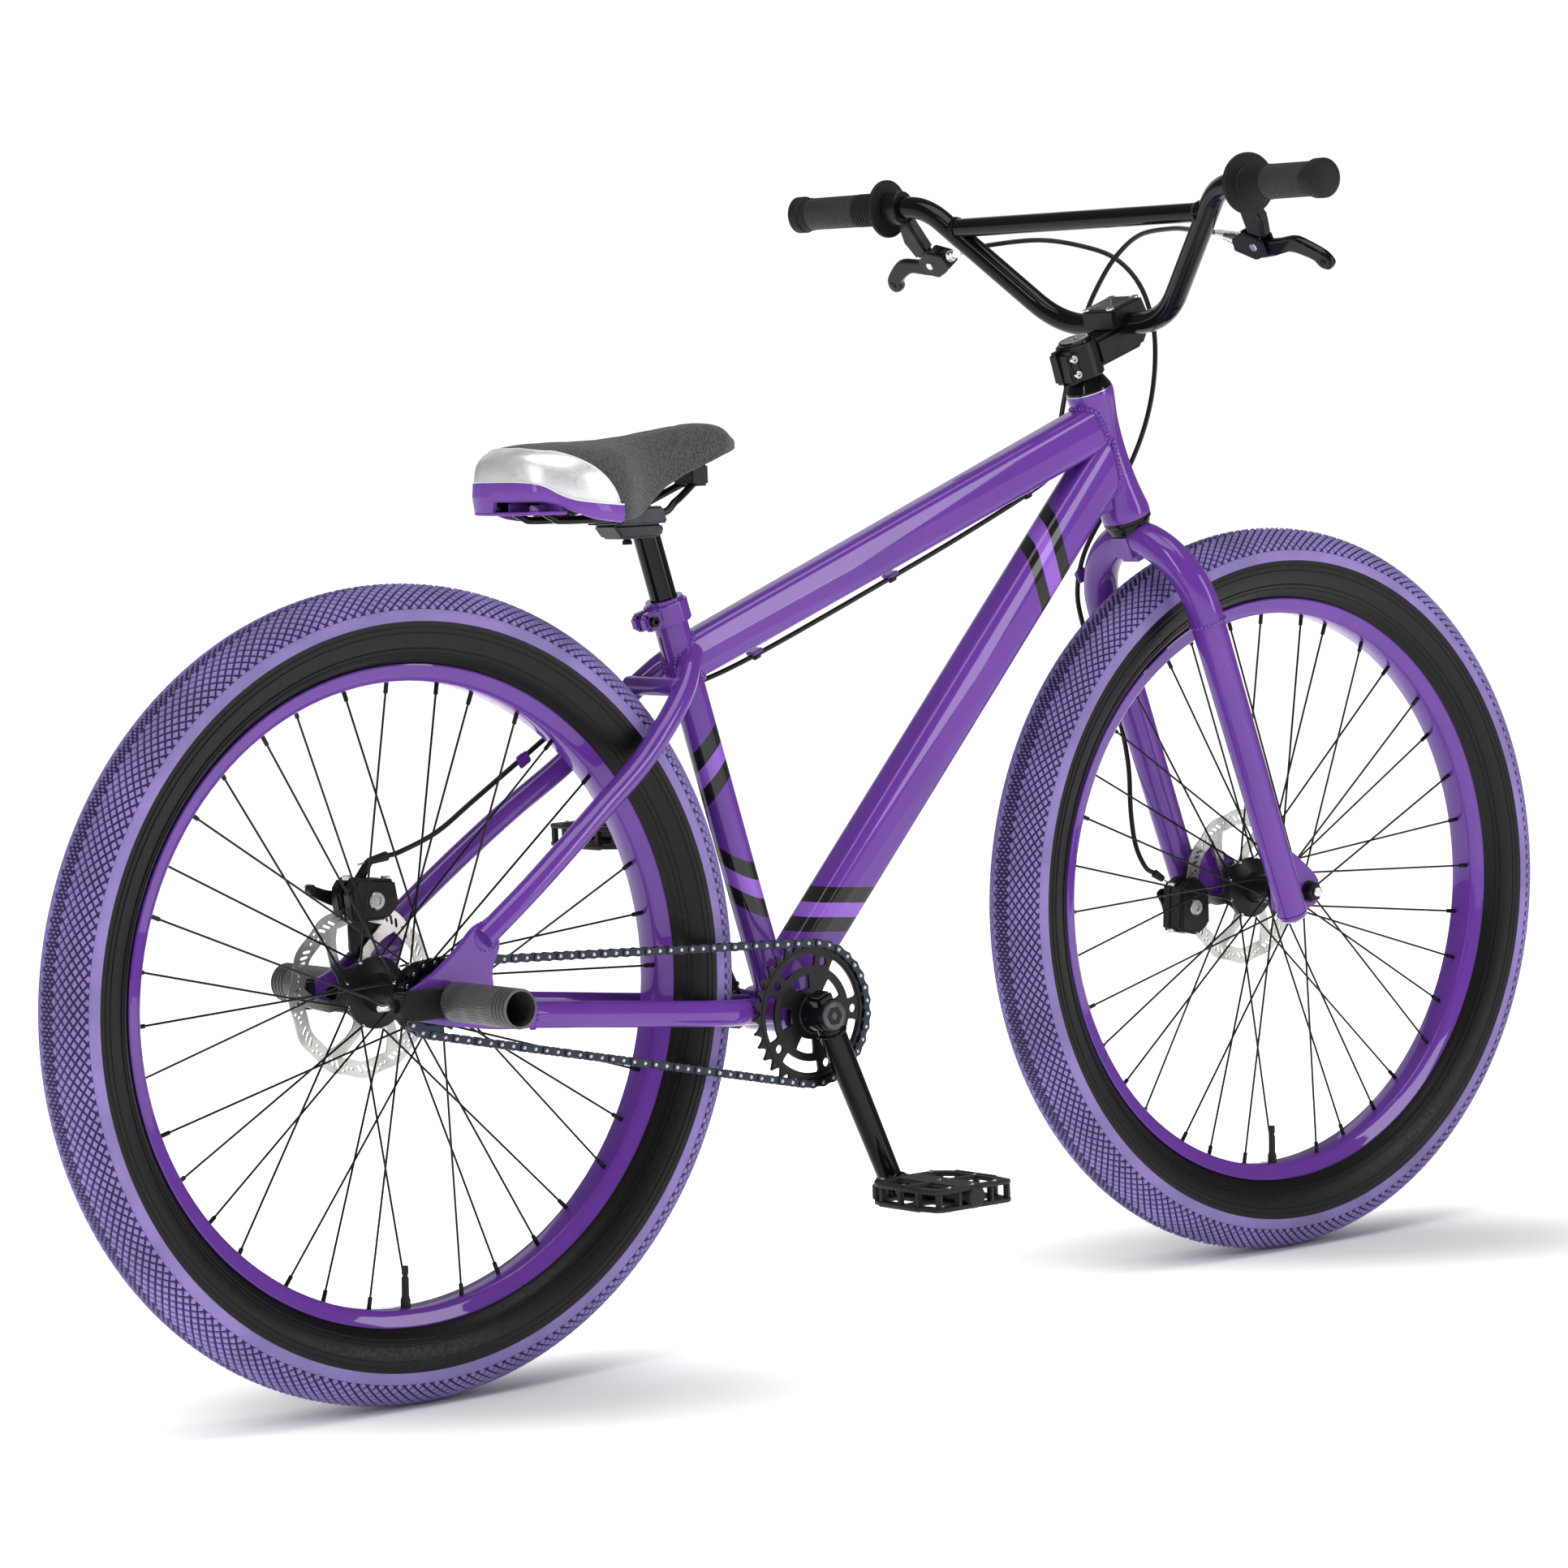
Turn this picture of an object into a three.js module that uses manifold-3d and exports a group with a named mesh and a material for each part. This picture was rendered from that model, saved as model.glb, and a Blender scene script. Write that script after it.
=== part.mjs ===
// A 27.5 inch BMX bicycle with disc brakes, built as separate named solids in millimetres.
// +X is forward, +Y is the rider's left, +Z is up. The origin is on the ground, midway between
// the two axles. Right-hand pieces have negative Y.
import * as THREE from 'three';
import { mergeVertices } from 'three/addons/utils/BufferGeometryUtils.js';
import { ConvexGeometry } from 'three/addons/geometries/ConvexGeometry.js';
import Module from 'manifold-3d';

const wasm = await Module();
wasm.setup();

// ---- driving dimensions ----
const GAP = 0.3;
const WHEELBASE = 1091;
const WHEEL_R = 370;
const AXLE_Z = WHEEL_R;
const REAR_X = -WHEELBASE / 2;
const FRONT_X = WHEELBASE / 2;
const WHEEL_SEGMENTS = 32;
const SPOKES_PER_SIDE = 18;
const RIM_INNER_R = 283;
const SPOKE_END_R = 280.4;
const ROTOR_R = 80;
const BB_X = -110;
const BB_Z = 312;
const CRANK_LENGTH = 180;
const CRANK_DIR = new THREE.Vector3(0.3628, 0, -0.9319);
const SPROCKET_PITCH_R = 66.8;
const SPROCKET_TEETH = 33;
const COG_PITCH_R = 32.55;
const COG_TEETH = 16;
const CHAIN_Y = -50;
const SEAT_UP = new THREE.Vector3(-0.2857, 0, 0.9583);
const STEER_UP = new THREE.Vector3(-0.3337, 0, 0.9427);
const STEER_FWD = new THREE.Vector3(0.9427, 0, 0.3337);
const HEAD_BOTTOM = new THREE.Vector3(361, 0, 759.6);
const HEAD_LENGTH = 135.5;
const FORK_HALF_WIDTH = 73;
const BAR_R = 11.1;
const BAR_FWD = 56;
const BAR_S = 184.7;

const v = (x, y, z) => new THREE.Vector3(x, y, z);
const Y_AXIS = v(0, 1, 0);

// ---- materials ----
const paint = (color, roughness, metalness) =>
  new THREE.MeshStandardMaterial({ color, roughness, metalness });
const PURPLE = paint(0x5d2f9e, 0.25, 0.4);
const BLACK = paint(0x141416, 0.35, 0.3);
const RUBBER = paint(0x1b1b1d, 0.9, 0);
const VIOLET_TYRE = paint(0x6d55a8, 0.85, 0);
const STEEL = paint(0xb9b6b0, 0.3, 1);
const PLASTIC = paint(0x202124, 0.6, 0);
const COVER = paint(0x3a3b40, 0.7, 0);
const CHAIN_STEEL = paint(0x3a424d, 0.35, 0.9);
const ALLOY = paint(0x1a1a1c, 0.4, 0.8);

// ---- solids: every piece becomes one closed, outward-facing body ----

// The vertex-merged, outward-facing solid of a three.js geometry.
function solid(geometry) {
  const bare = geometry.clone();
  bare.deleteAttribute('normal');
  bare.deleteAttribute('uv');
  const merged = mergeVertices(bare, 1e-3);
  const points = merged.attributes.position.array;
  const triangles = [];
  let volume = 0;
  for (let i = 0; i < merged.index.count; i += 3) {
    const corner = [0, 1, 2].map((k) => merged.index.getX(i + k));
    if (new Set(corner).size < 3) continue;
    triangles.push(...corner);
    const [a, b, c] = corner.map((k) => v(points[3 * k], points[3 * k + 1], points[3 * k + 2]));
    volume += a.dot(b.cross(c));
  }
  if (volume < 0) triangles.reverse();
  const vertProperties = Float32Array.from(points);
  const triVerts = Uint32Array.from(triangles);
  return new wasm.Manifold(new wasm.Mesh({ numProp: 3, vertProperties, triVerts }));
}

// The three.js geometry of a finished solid.
function geometryOf(body) {
  const mesh = body.getMesh();
  const geometry = new THREE.BufferGeometry();
  const points = new Float32Array(mesh.numVert * 3);
  for (let i = 0; i < mesh.numVert; i += 1) {
    for (let k = 0; k < 3; k += 1) points[3 * i + k] = mesh.vertProperties[i * mesh.numProp + k];
  }
  geometry.setAttribute('position', new THREE.BufferAttribute(points, 3));
  geometry.setIndex(new THREE.BufferAttribute(Uint32Array.from(mesh.triVerts), 1));
  geometry.computeVertexNormals();
  return geometry;
}

const join = (...bodies) => bodies.reduce((sum, body) => sum.add(body));
const cut = (body, ...tools) => tools.reduce((left, tool) => left.subtract(tool), body);

// The largest piece of a cut solid, without the slivers a joint's cut leaves beyond it.
function largest(body) {
  return body.decompose().sort((a, b) => b.volume() - a.volume())[0];
}

// The same solid on the other side of the bicycle.
function mirrored(body) {
  return solid(geometryOf(body).applyMatrix4(new THREE.Matrix4().makeScale(1, -1, 1)));
}

// A point in the steering frame: forward of the steering axis, left, and up the axis from the
// bottom of the head tube.
function steer(forward, y, up) {
  const p = HEAD_BOTTOM.clone();
  p.addScaledVector(STEER_UP, up);
  p.addScaledVector(STEER_FWD, forward);
  p.y += y;
  return p;
}

// A point on the seat tube's axis, measured up from the bottom bracket.
const seat = (up) => v(BB_X, 0, BB_Z).addScaledVector(SEAT_UP, up);

// Turns +Y onto a direction and moves the origin to a point.
function aim(geometry, origin, direction) {
  const turn = new THREE.Quaternion().setFromUnitVectors(Y_AXIS, direction.clone().normalize());
  geometry.applyQuaternion(turn);
  return geometry.translate(origin.x, origin.y, origin.z);
}

// A straight round bar, or a taper, between two points.
function rod(a, b, ra, rb = ra, sides = 12) {
  const along = b.clone().sub(a);
  const geometry = new THREE.CylinderGeometry(rb, ra, along.length(), sides);
  geometry.translate(0, along.length() / 2, 0);
  return solid(aim(geometry, a, along));
}

// A ring of revolution: the profile lists [radius, distance along the axis] and closes itself.
function turned(profile, sides, origin = v(0, 0, 0), direction = Y_AXIS) {
  const points = [...profile, profile[0]].map(([r, h]) => new THREE.Vector2(r, h));
  return solid(aim(new THREE.LatheGeometry(points, sides), origin, direction));
}

function circle(r, sides, turn = 0, cx = 0, cy = 0) {
  return Array.from({ length: sides }, (_, i) => {
    const a = turn + (2 * Math.PI * i) / sides;
    return [cx + r * Math.cos(a), cy + r * Math.sin(a)];
  });
}

function shapeOf(outline, holes = []) {
  const shape = new THREE.Shape(outline.map(([x, y]) => new THREE.Vector2(x, y)));
  shape.holes = holes.map((hole) => new THREE.Path(hole.map(([x, y]) => new THREE.Vector2(x, y))));
  return shape;
}

// A flat plate in the XZ plane between y0 and y1, moved by (x, z).
function plate(outline, y0, y1, holes = [], x = 0, z = 0) {
  const geometry = new THREE.ExtrudeGeometry(shapeOf(outline, holes), {
    depth: y1 - y0,
    bevelEnabled: false,
  });
  geometry.applyMatrix4(new THREE.Matrix4().makeBasis(v(1, 0, 0), v(0, 0, 1), v(0, -1, 0)));
  return solid(geometry.translate(x, y1, z));
}

// A bar of any section along a curve.
function along(curve, outline, steps) {
  const options = { steps, extrudePath: curve, bevelEnabled: false };
  return solid(new THREE.ExtrudeGeometry(shapeOf(outline), options));
}

const smooth = (points) => new THREE.CatmullRomCurve3(points, false, 'centripetal');

// Straight runs with rounded corners, like a bent tube.
function bent(corners, reaches) {
  const path = new THREE.CurvePath();
  let from = corners[0];
  for (let i = 1; i < corners.length - 1; i += 1) {
    const back = corners[i - 1].clone().sub(corners[i]).setLength(reaches[i - 1]);
    const ahead = corners[i + 1].clone().sub(corners[i]).setLength(reaches[i - 1]);
    const enter = corners[i].clone().add(back);
    const leave = corners[i].clone().add(ahead);
    path.add(new THREE.LineCurve3(from, enter));
    path.add(new THREE.QuadraticBezierCurve3(enter, corners[i], leave));
    from = leave;
  }
  path.add(new THREE.LineCurve3(from, corners[corners.length - 1]));
  return path;
}

const hull = (points) => solid(new ConvexGeometry(points));

function block(x0, x1, y0, y1, z0, z1) {
  const geometry = new THREE.BoxGeometry(x1 - x0, y1 - y0, z1 - z0);
  return solid(geometry.translate((x0 + x1) / 2, (y0 + y1) / 2, (z0 + z1) / 2));
}

// A straight box-section tube with cut corners, from a to b in the XZ plane.
function boxTube(a, b, sizeA, sizeB, corner) {
  const run = b.clone().sub(a).normalize();
  const up = v(-run.z, 0, run.x);
  const ring = (centre, [height, width]) => {
    const h = height / 2;
    const w = width / 2;
    const near = [[h - corner, w], [h, w - corner]];
    const corners = near.flatMap(([p, q]) => [[p, q], [p, -q], [-p, q], [-p, -q]]);
    return corners.map(([p, q]) => centre.clone().addScaledVector(up, p).add(v(0, q, 0)));
  };
  return hull([...ring(a, sizeA), ...ring(b, sizeB)]);
}

const group = new THREE.Group();

function add(name, body, material) {
  const mesh = new THREE.Mesh(geometryOf(body), material);
  mesh.name = name;
  group.add(mesh);
  return body;
}

// Adds a right-hand piece and its mirror image on the left.
function addPair(name, body, material) {
  add(`${name}_r`, body, material);
  add(`${name}_l`, mirrored(body), material);
}

// ---- frame ----

const SEAT_TUBE_LENGTH = 410.6;
const seatTubeOuter = (grow) => rod(seat(0), seat(SEAT_TUBE_LENGTH), 16.2 + grow, 16.2 + grow, 18);

// The bottom bracket shell's outside, made larger where a tube is cut to clear it.
function shellOuter(grow) {
  const half = 36 + grow;
  return rod(v(BB_X, -half, BB_Z), v(BB_X, half, BB_Z), 21.5 + grow, 21.5 + grow, 18);
}

const HEAD_OUTER = [
  [24.5, 0], [24.5, 8], [20.5, 34], [18.5, 68], [19.5, 100], [23.5, 128], [23.5, HEAD_LENGTH],
];

function headTube() {
  return turned([...HEAD_OUTER, [17, HEAD_LENGTH], [17, 0]], 18, HEAD_BOTTOM, STEER_UP);
}

function headTubeOuter() {
  const profile = HEAD_OUTER.map(([r, s]) => [r + GAP, s]);
  return turned([...profile, [0.5, HEAD_LENGTH], [0.5, 0]], 18, HEAD_BOTTOM, STEER_UP);
}

const TOP_TUBE = [v(-213, 0, 649.2), v(330, 0, 854.9)];
const TOP_TUBE_SIZES = [[43, 30], [47, 34]];
const DOWN_TUBE = [v(-107.1, 0, 331.5), v(335.3, 0, 820.4)];
const DOWN_TUBE_SIZE = [51, 36];

function topTube() {
  const run = TOP_TUBE[1].clone().sub(TOP_TUBE[0]).normalize();
  const [a, b] = TOP_TUBE;
  const bore = boxTube(
    a.clone().addScaledVector(run, -30), b.clone().addScaledVector(run, 30), [38, 25], [42, 29], 6);
  const outer = boxTube(a, b, ...TOP_TUBE_SIZES, 8);
  return largest(cut(outer, bore, seatTubeOuter(GAP), headTubeOuter()));
}

function downTube() {
  const run = DOWN_TUBE[1].clone().sub(DOWN_TUBE[0]).normalize();
  const [a, b] = DOWN_TUBE;
  const bore = boxTube(
    a.clone().addScaledVector(run, -30), b.clone().addScaledVector(run, 40), [46, 31], [46, 31], 7);
  const outer = boxTube(a, b, DOWN_TUBE_SIZE, DOWN_TUBE_SIZE, 9);
  const topTubeZone = boxTube(...TOP_TUBE, [43.6, 30.6], [47.6, 60], 8);
  const gusset = plate([[292, 772], [352, 798], [344, 775], [318, 768]], -9, 9);
  const body = cut(outer, bore);
  const zones = [shellOuter(GAP), seatTubeOuter(GAP), topTubeZone, headTubeOuter()];
  return largest(cut(join(body, gusset), ...zones));
}

function seatTube() {
  const bore = rod(seat(-10), seat(420), 13.2, 13.2, 18);
  return cut(seatTubeOuter(0), bore, shellOuter(GAP));
}

// The dropout plate's outline beside the rear axle, and its rear-facing axle slot.
const DROPOUT = [
  [-590, 359], [-590, 381], [-566, 391], [-536, 412], [-510, 437], [-492, 430], [-488, 414],
  [-499, 394], [-497, 372], [-478, 365], [-452, 360], [-448, 336], [-500, 340], [-560, 351],
];
const AXLE_SLOT = [[-578, 362.6], [-536, 362.6], [-534, 370], [-536, 377.4], [-578, 377.4]];
const CHAINSTAY_PATH = [
  v(-122, -22, 314), v(-150, -28, 316.5), v(-176, -37, 319), v(-192, -45, 320.6),
  v(-215, -52, 323), v(-260, -57.5, 327.5), v(-340, -64, 336), v(-430, -71, 345.5), v(-482, -73.5, 351),
];

function chainstay() {
  const stay = along(smooth(CHAINSTAY_PATH), circle(1, 8).map(([p, q]) => [12.6 * p, 8.2 * q]), 10);
  const dropout = plate(DROPOUT, -77, -70, [AXLE_SLOT]);
  return join(cut(stay, shellOuter(GAP)), dropout);
}

function dropoutZone() {
  const centre = [-520, 388];
  const grown = DROPOUT.map(([x, z]) => [x + (x - centre[0]) * 0.02, z + (z - centre[1]) * 0.02]);
  return plate(grown, -77.4, -69.6);
}

const SEATSTAY_PATH = [
  v(-212, -15, 653), v(-222, -25, 643), v(-240, -38, 624), v(-268, -48, 597), v(-310, -56, 560),
  v(-363, -65, 524), v(-411, -71.5, 490), v(-456, -75, 457.5), v(-508, -75.5, 420.5),
];

// Both seatstays and the bridge that joins them behind the seat tube.
function seatstays() {
  const right = cut(along(smooth(SEATSTAY_PATH), circle(11, 8), 11), dropoutZone());
  const bridge = rod(v(-244, -38, 629), v(-244, 38, 629), 9, 9, 8);
  return cut(join(right, mirrored(right), bridge), seatTubeOuter(GAP));
}

function seatClamp() {
  const section = [
    [16.9, 0], [21, 0], [21, 20], [18, 20], [18, 23.5], [13.2, 23.5], [13.2, 19], [16.9, 19]];
  const ring = turned(section, 14, seat(392), SEAT_UP);
  const rear = v(-SEAT_UP.z, 0, SEAT_UP.x);
  const at = (back, y, up) => seat(402 + up).addScaledVector(rear, back).add(v(0, y, 0));
  const ear = (sign) => hull([18, 36].flatMap((back) => [-9, 9].flatMap((up) =>
    [2, 12].map((y) => at(back, sign * y, up)))));
  const bolt = rod(at(27, -14, 0), at(27, 14, 0), 4.5, 4.5, 6);
  return join(ring, ear(-1), ear(1), bolt);
}

// ---- seat ----

const RAIL_HALF = [
  v(-396, 24, 806), v(-372, 23, 792), v(-352, 22, 788), v(-252, 22, 789), v(-226, 20, 800),
  v(-196, 9, 815),
];

// The two rails are one wire, bent round under the nose.
function rails(radius) {
  const right = RAIL_HALF.map((p) => v(p.x, -p.y, p.z)).reverse();
  return along(smooth([...RAIL_HALF, v(-190, 0, 816.5), ...right]), circle(radius, 8), 30);
}

function seatpost() {
  const tube = rod(seat(285), seat(488), 12.7, 12.7, 18);
  const yoke = hull([-17, 17].flatMap((y) => [
    v(-288, y, 767.5), v(-243, y, 767.5), v(-236, y, 772), v(-297, y, 782), v(-240, y, 782)]));
  const cradle = hull([-27, 27].flatMap((y) => [
    v(-296, y, 780), v(-241, y, 780), v(-291, y, 798), v(-246, y, 798)]));
  const bore = rod(seat(280), seat(474), 10.4, 10.4, 14);
  return largest(cut(join(tube, yoke, cradle), bore, rails(4)));
}

// The moulded underside of the saddle: a shell with a rear bumper and side wings.
function saddleBase() {
  const wide = hull([
    v(-418, -30, 800), v(-418, 30, 800), v(-404, -58, 797), v(-404, 58, 797), v(-412, -38, 815),
    v(-412, 38, 815),
    v(-360, -72, 797), v(-360, 72, 797), v(-326, -70, 790), v(-326, 70, 790), v(-330, -70, 803),
    v(-330, 70, 803),
    v(-404, -60, 812), v(-404, 60, 812),
  ]);
  const nose = hull([
    v(-345, -60, 800), v(-345, 60, 800), v(-345, -58, 807), v(-345, 58, 807),
    v(-150, -12, 832), v(-150, 12, 832), v(-150, -12, 838), v(-150, 12, 838),
  ]);
  const hollow = hull([
    v(-402, -50, 780), v(-402, 50, 780), v(-396, -46, 809), v(-396, 46, 809),
    v(-310, -64, 780), v(-310, 64, 780), v(-316, -54, 809), v(-316, 54, 809),
  ]);
  const lug = hull([[-404, 800], [-386, 800], [-386, 813],
    [-404, 813]].flatMap(([x, z]) => [v(x, -34, z), v(x, 34, z)]));
  const noseLug = block(-200, -182, -14, 14, 820.5, 832);
  return largest(cut(join(cut(wide, hollow), nose, lug, noseLug), rails(4)));
}

function saddleCover() {
  const rear = hull([
    v(-419.5, -24, 818), v(-419.5, 24, 818), v(-412, -46, 818), v(-412, 46, 818), v(-388, -71, 814),
    v(-388, 71, 814),
    v(-330, -72, 806.5), v(-330, 72, 806.5), v(-398, -46, 853), v(-398, 46, 853), v(-360, -50, 860),
    v(-360, 50, 860),
    v(-320, -60, 852), v(-320, 60, 852), v(-290, -30, 860), v(-290, 30, 860), v(-290, -44, 822),
    v(-290, 44, 822),
  ]);
  const nose = hull([
    v(-320, -48, 826), v(-320, 48, 826), v(-320, -34, 860), v(-320, 34, 860), v(-240, -30, 815),
    v(-240, 30, 815),
    v(-175, -22, 832), v(-175, 22, 832), v(-175, -17, 872), v(-175, 17, 872), v(-143, -13, 842),
    v(-143, 13, 842),
    v(-139.6, 0, 846), v(-150, -12, 866), v(-150, 12, 866), v(-220, -19, 870), v(-220, 19, 870),
  ]);
  const pad = join(rear, nose);
  const baseZone = join(
    hull([v(-424, -80, 780), v(-424, 80, 780), v(-424, -80, 815.4), v(-424, 80, 815.4),
      v(-404, -80, 812.5), v(-404, 80, 812.5), v(-325, -80, 803.6), v(-325, 80, 803.6),
      v(-325, -80, 780), v(-325, 80, 780)]),
    hull([v(-346, -61.5, 785), v(-346, 61.5, 785), v(-346, -60.5, 807.6), v(-346, 60.5, 807.6),
      v(-148, -12.5, 815), v(-148, 12.5, 815), v(-148, -12.5, 838.6), v(-148, 12.5, 838.6)]),
    block(-202, -180, -15, 15, 808, 833), block(-330, -205, -30, 30, 780, 812));
  return largest(cut(pad, baseZone));
}

// ---- headset, fork and cockpit ----

function headsetUpper() {
  const profile = [[14.6, 135.9], [22.8, 135.9], [22.8, 138.5], [16.8, 149.9], [14.6, 149.9]];
  return turned(profile, 16, HEAD_BOTTOM, STEER_UP);
}

function headsetLower() {
  const profile = [[14.6, -0.4], [14.6, -4.6], [24.4, -4.6], [24.4, -0.4]];
  return turned(profile, 16, HEAD_BOTTOM, STEER_UP);
}

// One fork shoulder, from the crown out to the straight leg.
const SHOULDER = [steer(0, -4, -22), steer(0, -22, -26), steer(0, -43, -39), steer(0, -60, -58),
  steer(0, -70, -81),
  steer(0, -72.8, -99), steer(0, -73, -112)];

function forkCrown() {
  const steerer = rod(steer(0, 0, -10), steer(0, 0, 185.4), 14.1, 14.1, 12);
  const race = rod(steer(0, 0, -5), steer(0, 0, -14), 22.5, 20, 12);
  const neck = hull([-17, 17].flatMap((y) => [
    steer(-18, y, -12), steer(18, y, -12), steer(-17, y, -47), steer(17, y, -47)]));
  const shoulder = along(smooth(SHOULDER), circle(17.5, 10), 7);
  return join(steerer, race, neck, shoulder, mirrored(shoulder));
}

function forkLeg() {
  const foot = steer(0, -FORK_HALF_WIDTH, -433);
  const leg = rod(steer(0, -FORK_HALF_WIDTH, -112.8), foot, 17.5, 15, 12);
  const tab = plate([
    [-48, 40], [-30, 48], [12, 15], [15, 0], [11, -12], [-2, -17], [-38, -17]],
    -57, -50.4, [circle(5.4, 12)], FRONT_X, AXLE_Z);
  const lug = hull([-62, -51].flatMap((y) => [[-54, 42], [-34, 42], [-32, -16], [-50, -16]]
    .map(([x, z]) => v(FRONT_X + x, y, AXLE_Z + z))));
  return join(leg, tab, lug);
}

function stem() {
  const clamp = turned([[14.6, 150.3], [20.5, 150.3], [20.5, 185.9], [14.6, 185.9]],
    14, HEAD_BOTTOM, STEER_UP);
  const rearBlock = hull([-15, 15].flatMap((y) => [
    steer(-29, y, 151), steer(-16, y, 151), steer(-27, y, 184), steer(-16, y, 184)]));
  const arm = hull([-18, 18].flatMap((y) => [
    steer(10, y, 155.5), steer(10, y, 184.3), steer(74, y, 155.5), steer(84, y, 166),
      steer(84, y, 184.3)]));
  const bore = rod(steer(0, 0, 140), steer(0, 0, 195), 14.6, 14.6, 14);
  const barZone = rod(steer(BAR_FWD, -60, BAR_S), steer(BAR_FWD, 60, BAR_S),
    BAR_R + 0.6, BAR_R + 0.6, 10);
  const cap = rod(steer(0, 0, 185.8), steer(0, 0, 190), 17, 15, 12);
  return join(cut(join(clamp, rearBlock, arm), bore, barZone), cap);
}

function barClamp() {
  const body = hull([-24, 24].flatMap((y) => [
    steer(35, y, 184.9), steer(84, y, 184.9), steer(35, y, 205.6), steer(84, y, 205.6)]));
  const barZone = rod(steer(BAR_FWD, -60, BAR_S), steer(BAR_FWD, 60, BAR_S),
    BAR_R + 0.6, BAR_R + 0.6, 10);
  return cut(body, barZone);
}

const BAR_CENTRE = steer(BAR_FWD, 0, BAR_S);
const BAR_LOW = v(BAR_CENTRE.x, -75.3, BAR_CENTRE.z);
const BAR_HIGH = v(294, -215, 1079.2);
const GRIP_DIR = v(-0.1528, -0.9882, -0.006).normalize();
const onGrip = (t) => BAR_HIGH.clone().addScaledVector(GRIP_DIR, t);
const other = (p) => v(p.x, -p.y, p.z);

function handlebar() {
  const end = onGrip(168.5);
  const corners = [other(end), other(BAR_HIGH), other(BAR_LOW), BAR_LOW, BAR_HIGH, end];
  const tube = along(bent(corners, [24, 40, 40, 24]), circle(BAR_R, 8), 40);
  const cross = BAR_LOW.clone().lerp(BAR_HIGH, 0.812);
  const crossbar = rod(v(cross.x, cross.y, cross.z), v(cross.x, -cross.y, cross.z), 9.5, 9.5, 8);
  return join(tube, crossbar);
}

function grip() {
  const profile = [
    [11.5, 0], [29.5, 0], [29.5, 4.5], [17, 6], [16.6, 112], [18.8, 114], [18.8, 123],
    [14, 126.5], [0.02, 127], [0.02, 122.5], [11.5, 122.5]];
  return turned(profile, 14, onGrip(47.6), GRIP_DIR);
}

// The lever's own plane: y across, and depth below the bar.
const LEVER_DOWN = v(0.541, 0, -0.841);
const LEVER_AXIS = v(0.841, 0, 0.541);
const LEVER_ORIGIN = v(288.4, 0, 1079);
const leverPoint = (y, depth, side) => LEVER_ORIGIN.clone()
  .addScaledVector(LEVER_DOWN, depth).addScaledVector(LEVER_AXIS, side).add(v(0, y, 0));

function leverPerch() {
  const ring = turned([[11.9, 0], [17, 0], [17, 17], [11.9, 17]], 12, onGrip(28), GRIP_DIR);
  const neck = hull([-7, 7].flatMap((side) => [
    leverPoint(-240, 12, side), leverPoint(-256, 12, side), leverPoint(-234, 52, side),
    leverPoint(-262, 38, side), leverPoint(-254, 60, side)]));
  const body = hull([-9, 9].flatMap((side) => [
    leverPoint(-212, 55, side), leverPoint(-209, 69, side), leverPoint(-232, 82, side),
    leverPoint(-252, 77, side), leverPoint(-254, 60, side), leverPoint(-232, 50, side)]));
  const barrel = rod(leverPoint(-214, 62, 0), leverPoint(-197, 57, 0), 6, 5, 8);
  const barZone = rod(onGrip(0), onGrip(60), 11.9, 11.9, 12);
  const slot = hull([-4.6, 4.6].flatMap((side) => [
    leverPoint(-222, 57, side), leverPoint(-222, 90, side), leverPoint(-300, 90, side),
      leverPoint(-300, 57, side)]));
  return cut(join(ring, neck, body, barrel), barZone, slot);
}

function leverBlade() {
  const outline = [
    [-228, 65], [-226, 76], [-234, 80], [-256, 78], [-262, 76.5], [-279, 73.5], [-304, 85],
    [-308, 95], [-317, 97], [-322, 92.5], [-318, 82], [-293, 65], [-283, 63.5], [-263, 66]];
  return hullStrip(outline.map(([y, depth]) => leverPoint(y, depth, 0)), LEVER_AXIS, 4.2);
}

// A flat piece of any outline, with the given half thickness along an axis.
function hullStrip(points, axis, half) {
  const x = v(0, 1, 0);
  const z = axis.clone().normalize();
  const y = z.clone().cross(x);
  const origin = points[0];
  const outline = points.map((p) => p.clone().sub(origin)).map((p) => [p.dot(x), p.dot(y)]);
  const geometry = new THREE.ExtrudeGeometry(shapeOf(outline), { depth: 2 * half, bevelEnabled: false });
  geometry.translate(0, 0, -half);
  geometry.applyMatrix4(new THREE.Matrix4().makeBasis(x, y, z));
  return solid(geometry.translate(origin.x, origin.y, origin.z));
}

// ---- wheels ----

function tyre(x) {
  const outer = [[293.5, 16.3], [299.4, 16.5], [318, 34.5], [350, 34.5], [366, 17]];
  const inner = [[362, 14], [333, 31], [293, 11]];
  const profile = [
    ...outer, [WHEEL_R, 0], ...outer.slice().reverse().map(([r, y]) => [r, -y]),
    ...inner.slice().reverse().map(([r, y]) => [r, -y]), ...inner];
  return turned(profile, WHEEL_SEGMENTS, v(x, 0, AXLE_Z));
}

// The rim, with its valve standing in it.
function rim(x, valveAngle) {
  const half = [[298.6, 18.9], [298.6, 17.1], [289, 16.6]];
  const profile = [
    ...half, ...half.slice().reverse().map(([r, y]) => [r, -y]),
    [287.5, -18.4], [RIM_INNER_R, -13], [RIM_INNER_R, 13], [287.5, 18.4]];
  const centre = v(x, 0, AXLE_Z);
  const out = v(Math.cos(valveAngle), 0, Math.sin(valveAngle));
  const valve = rod(centre.clone().addScaledVector(out, 245),
    centre.clone().addScaledVector(out, 288), 3.6, 3.6, 8);
  return join(turned(profile, WHEEL_SEGMENTS, centre), valve);
}

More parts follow.
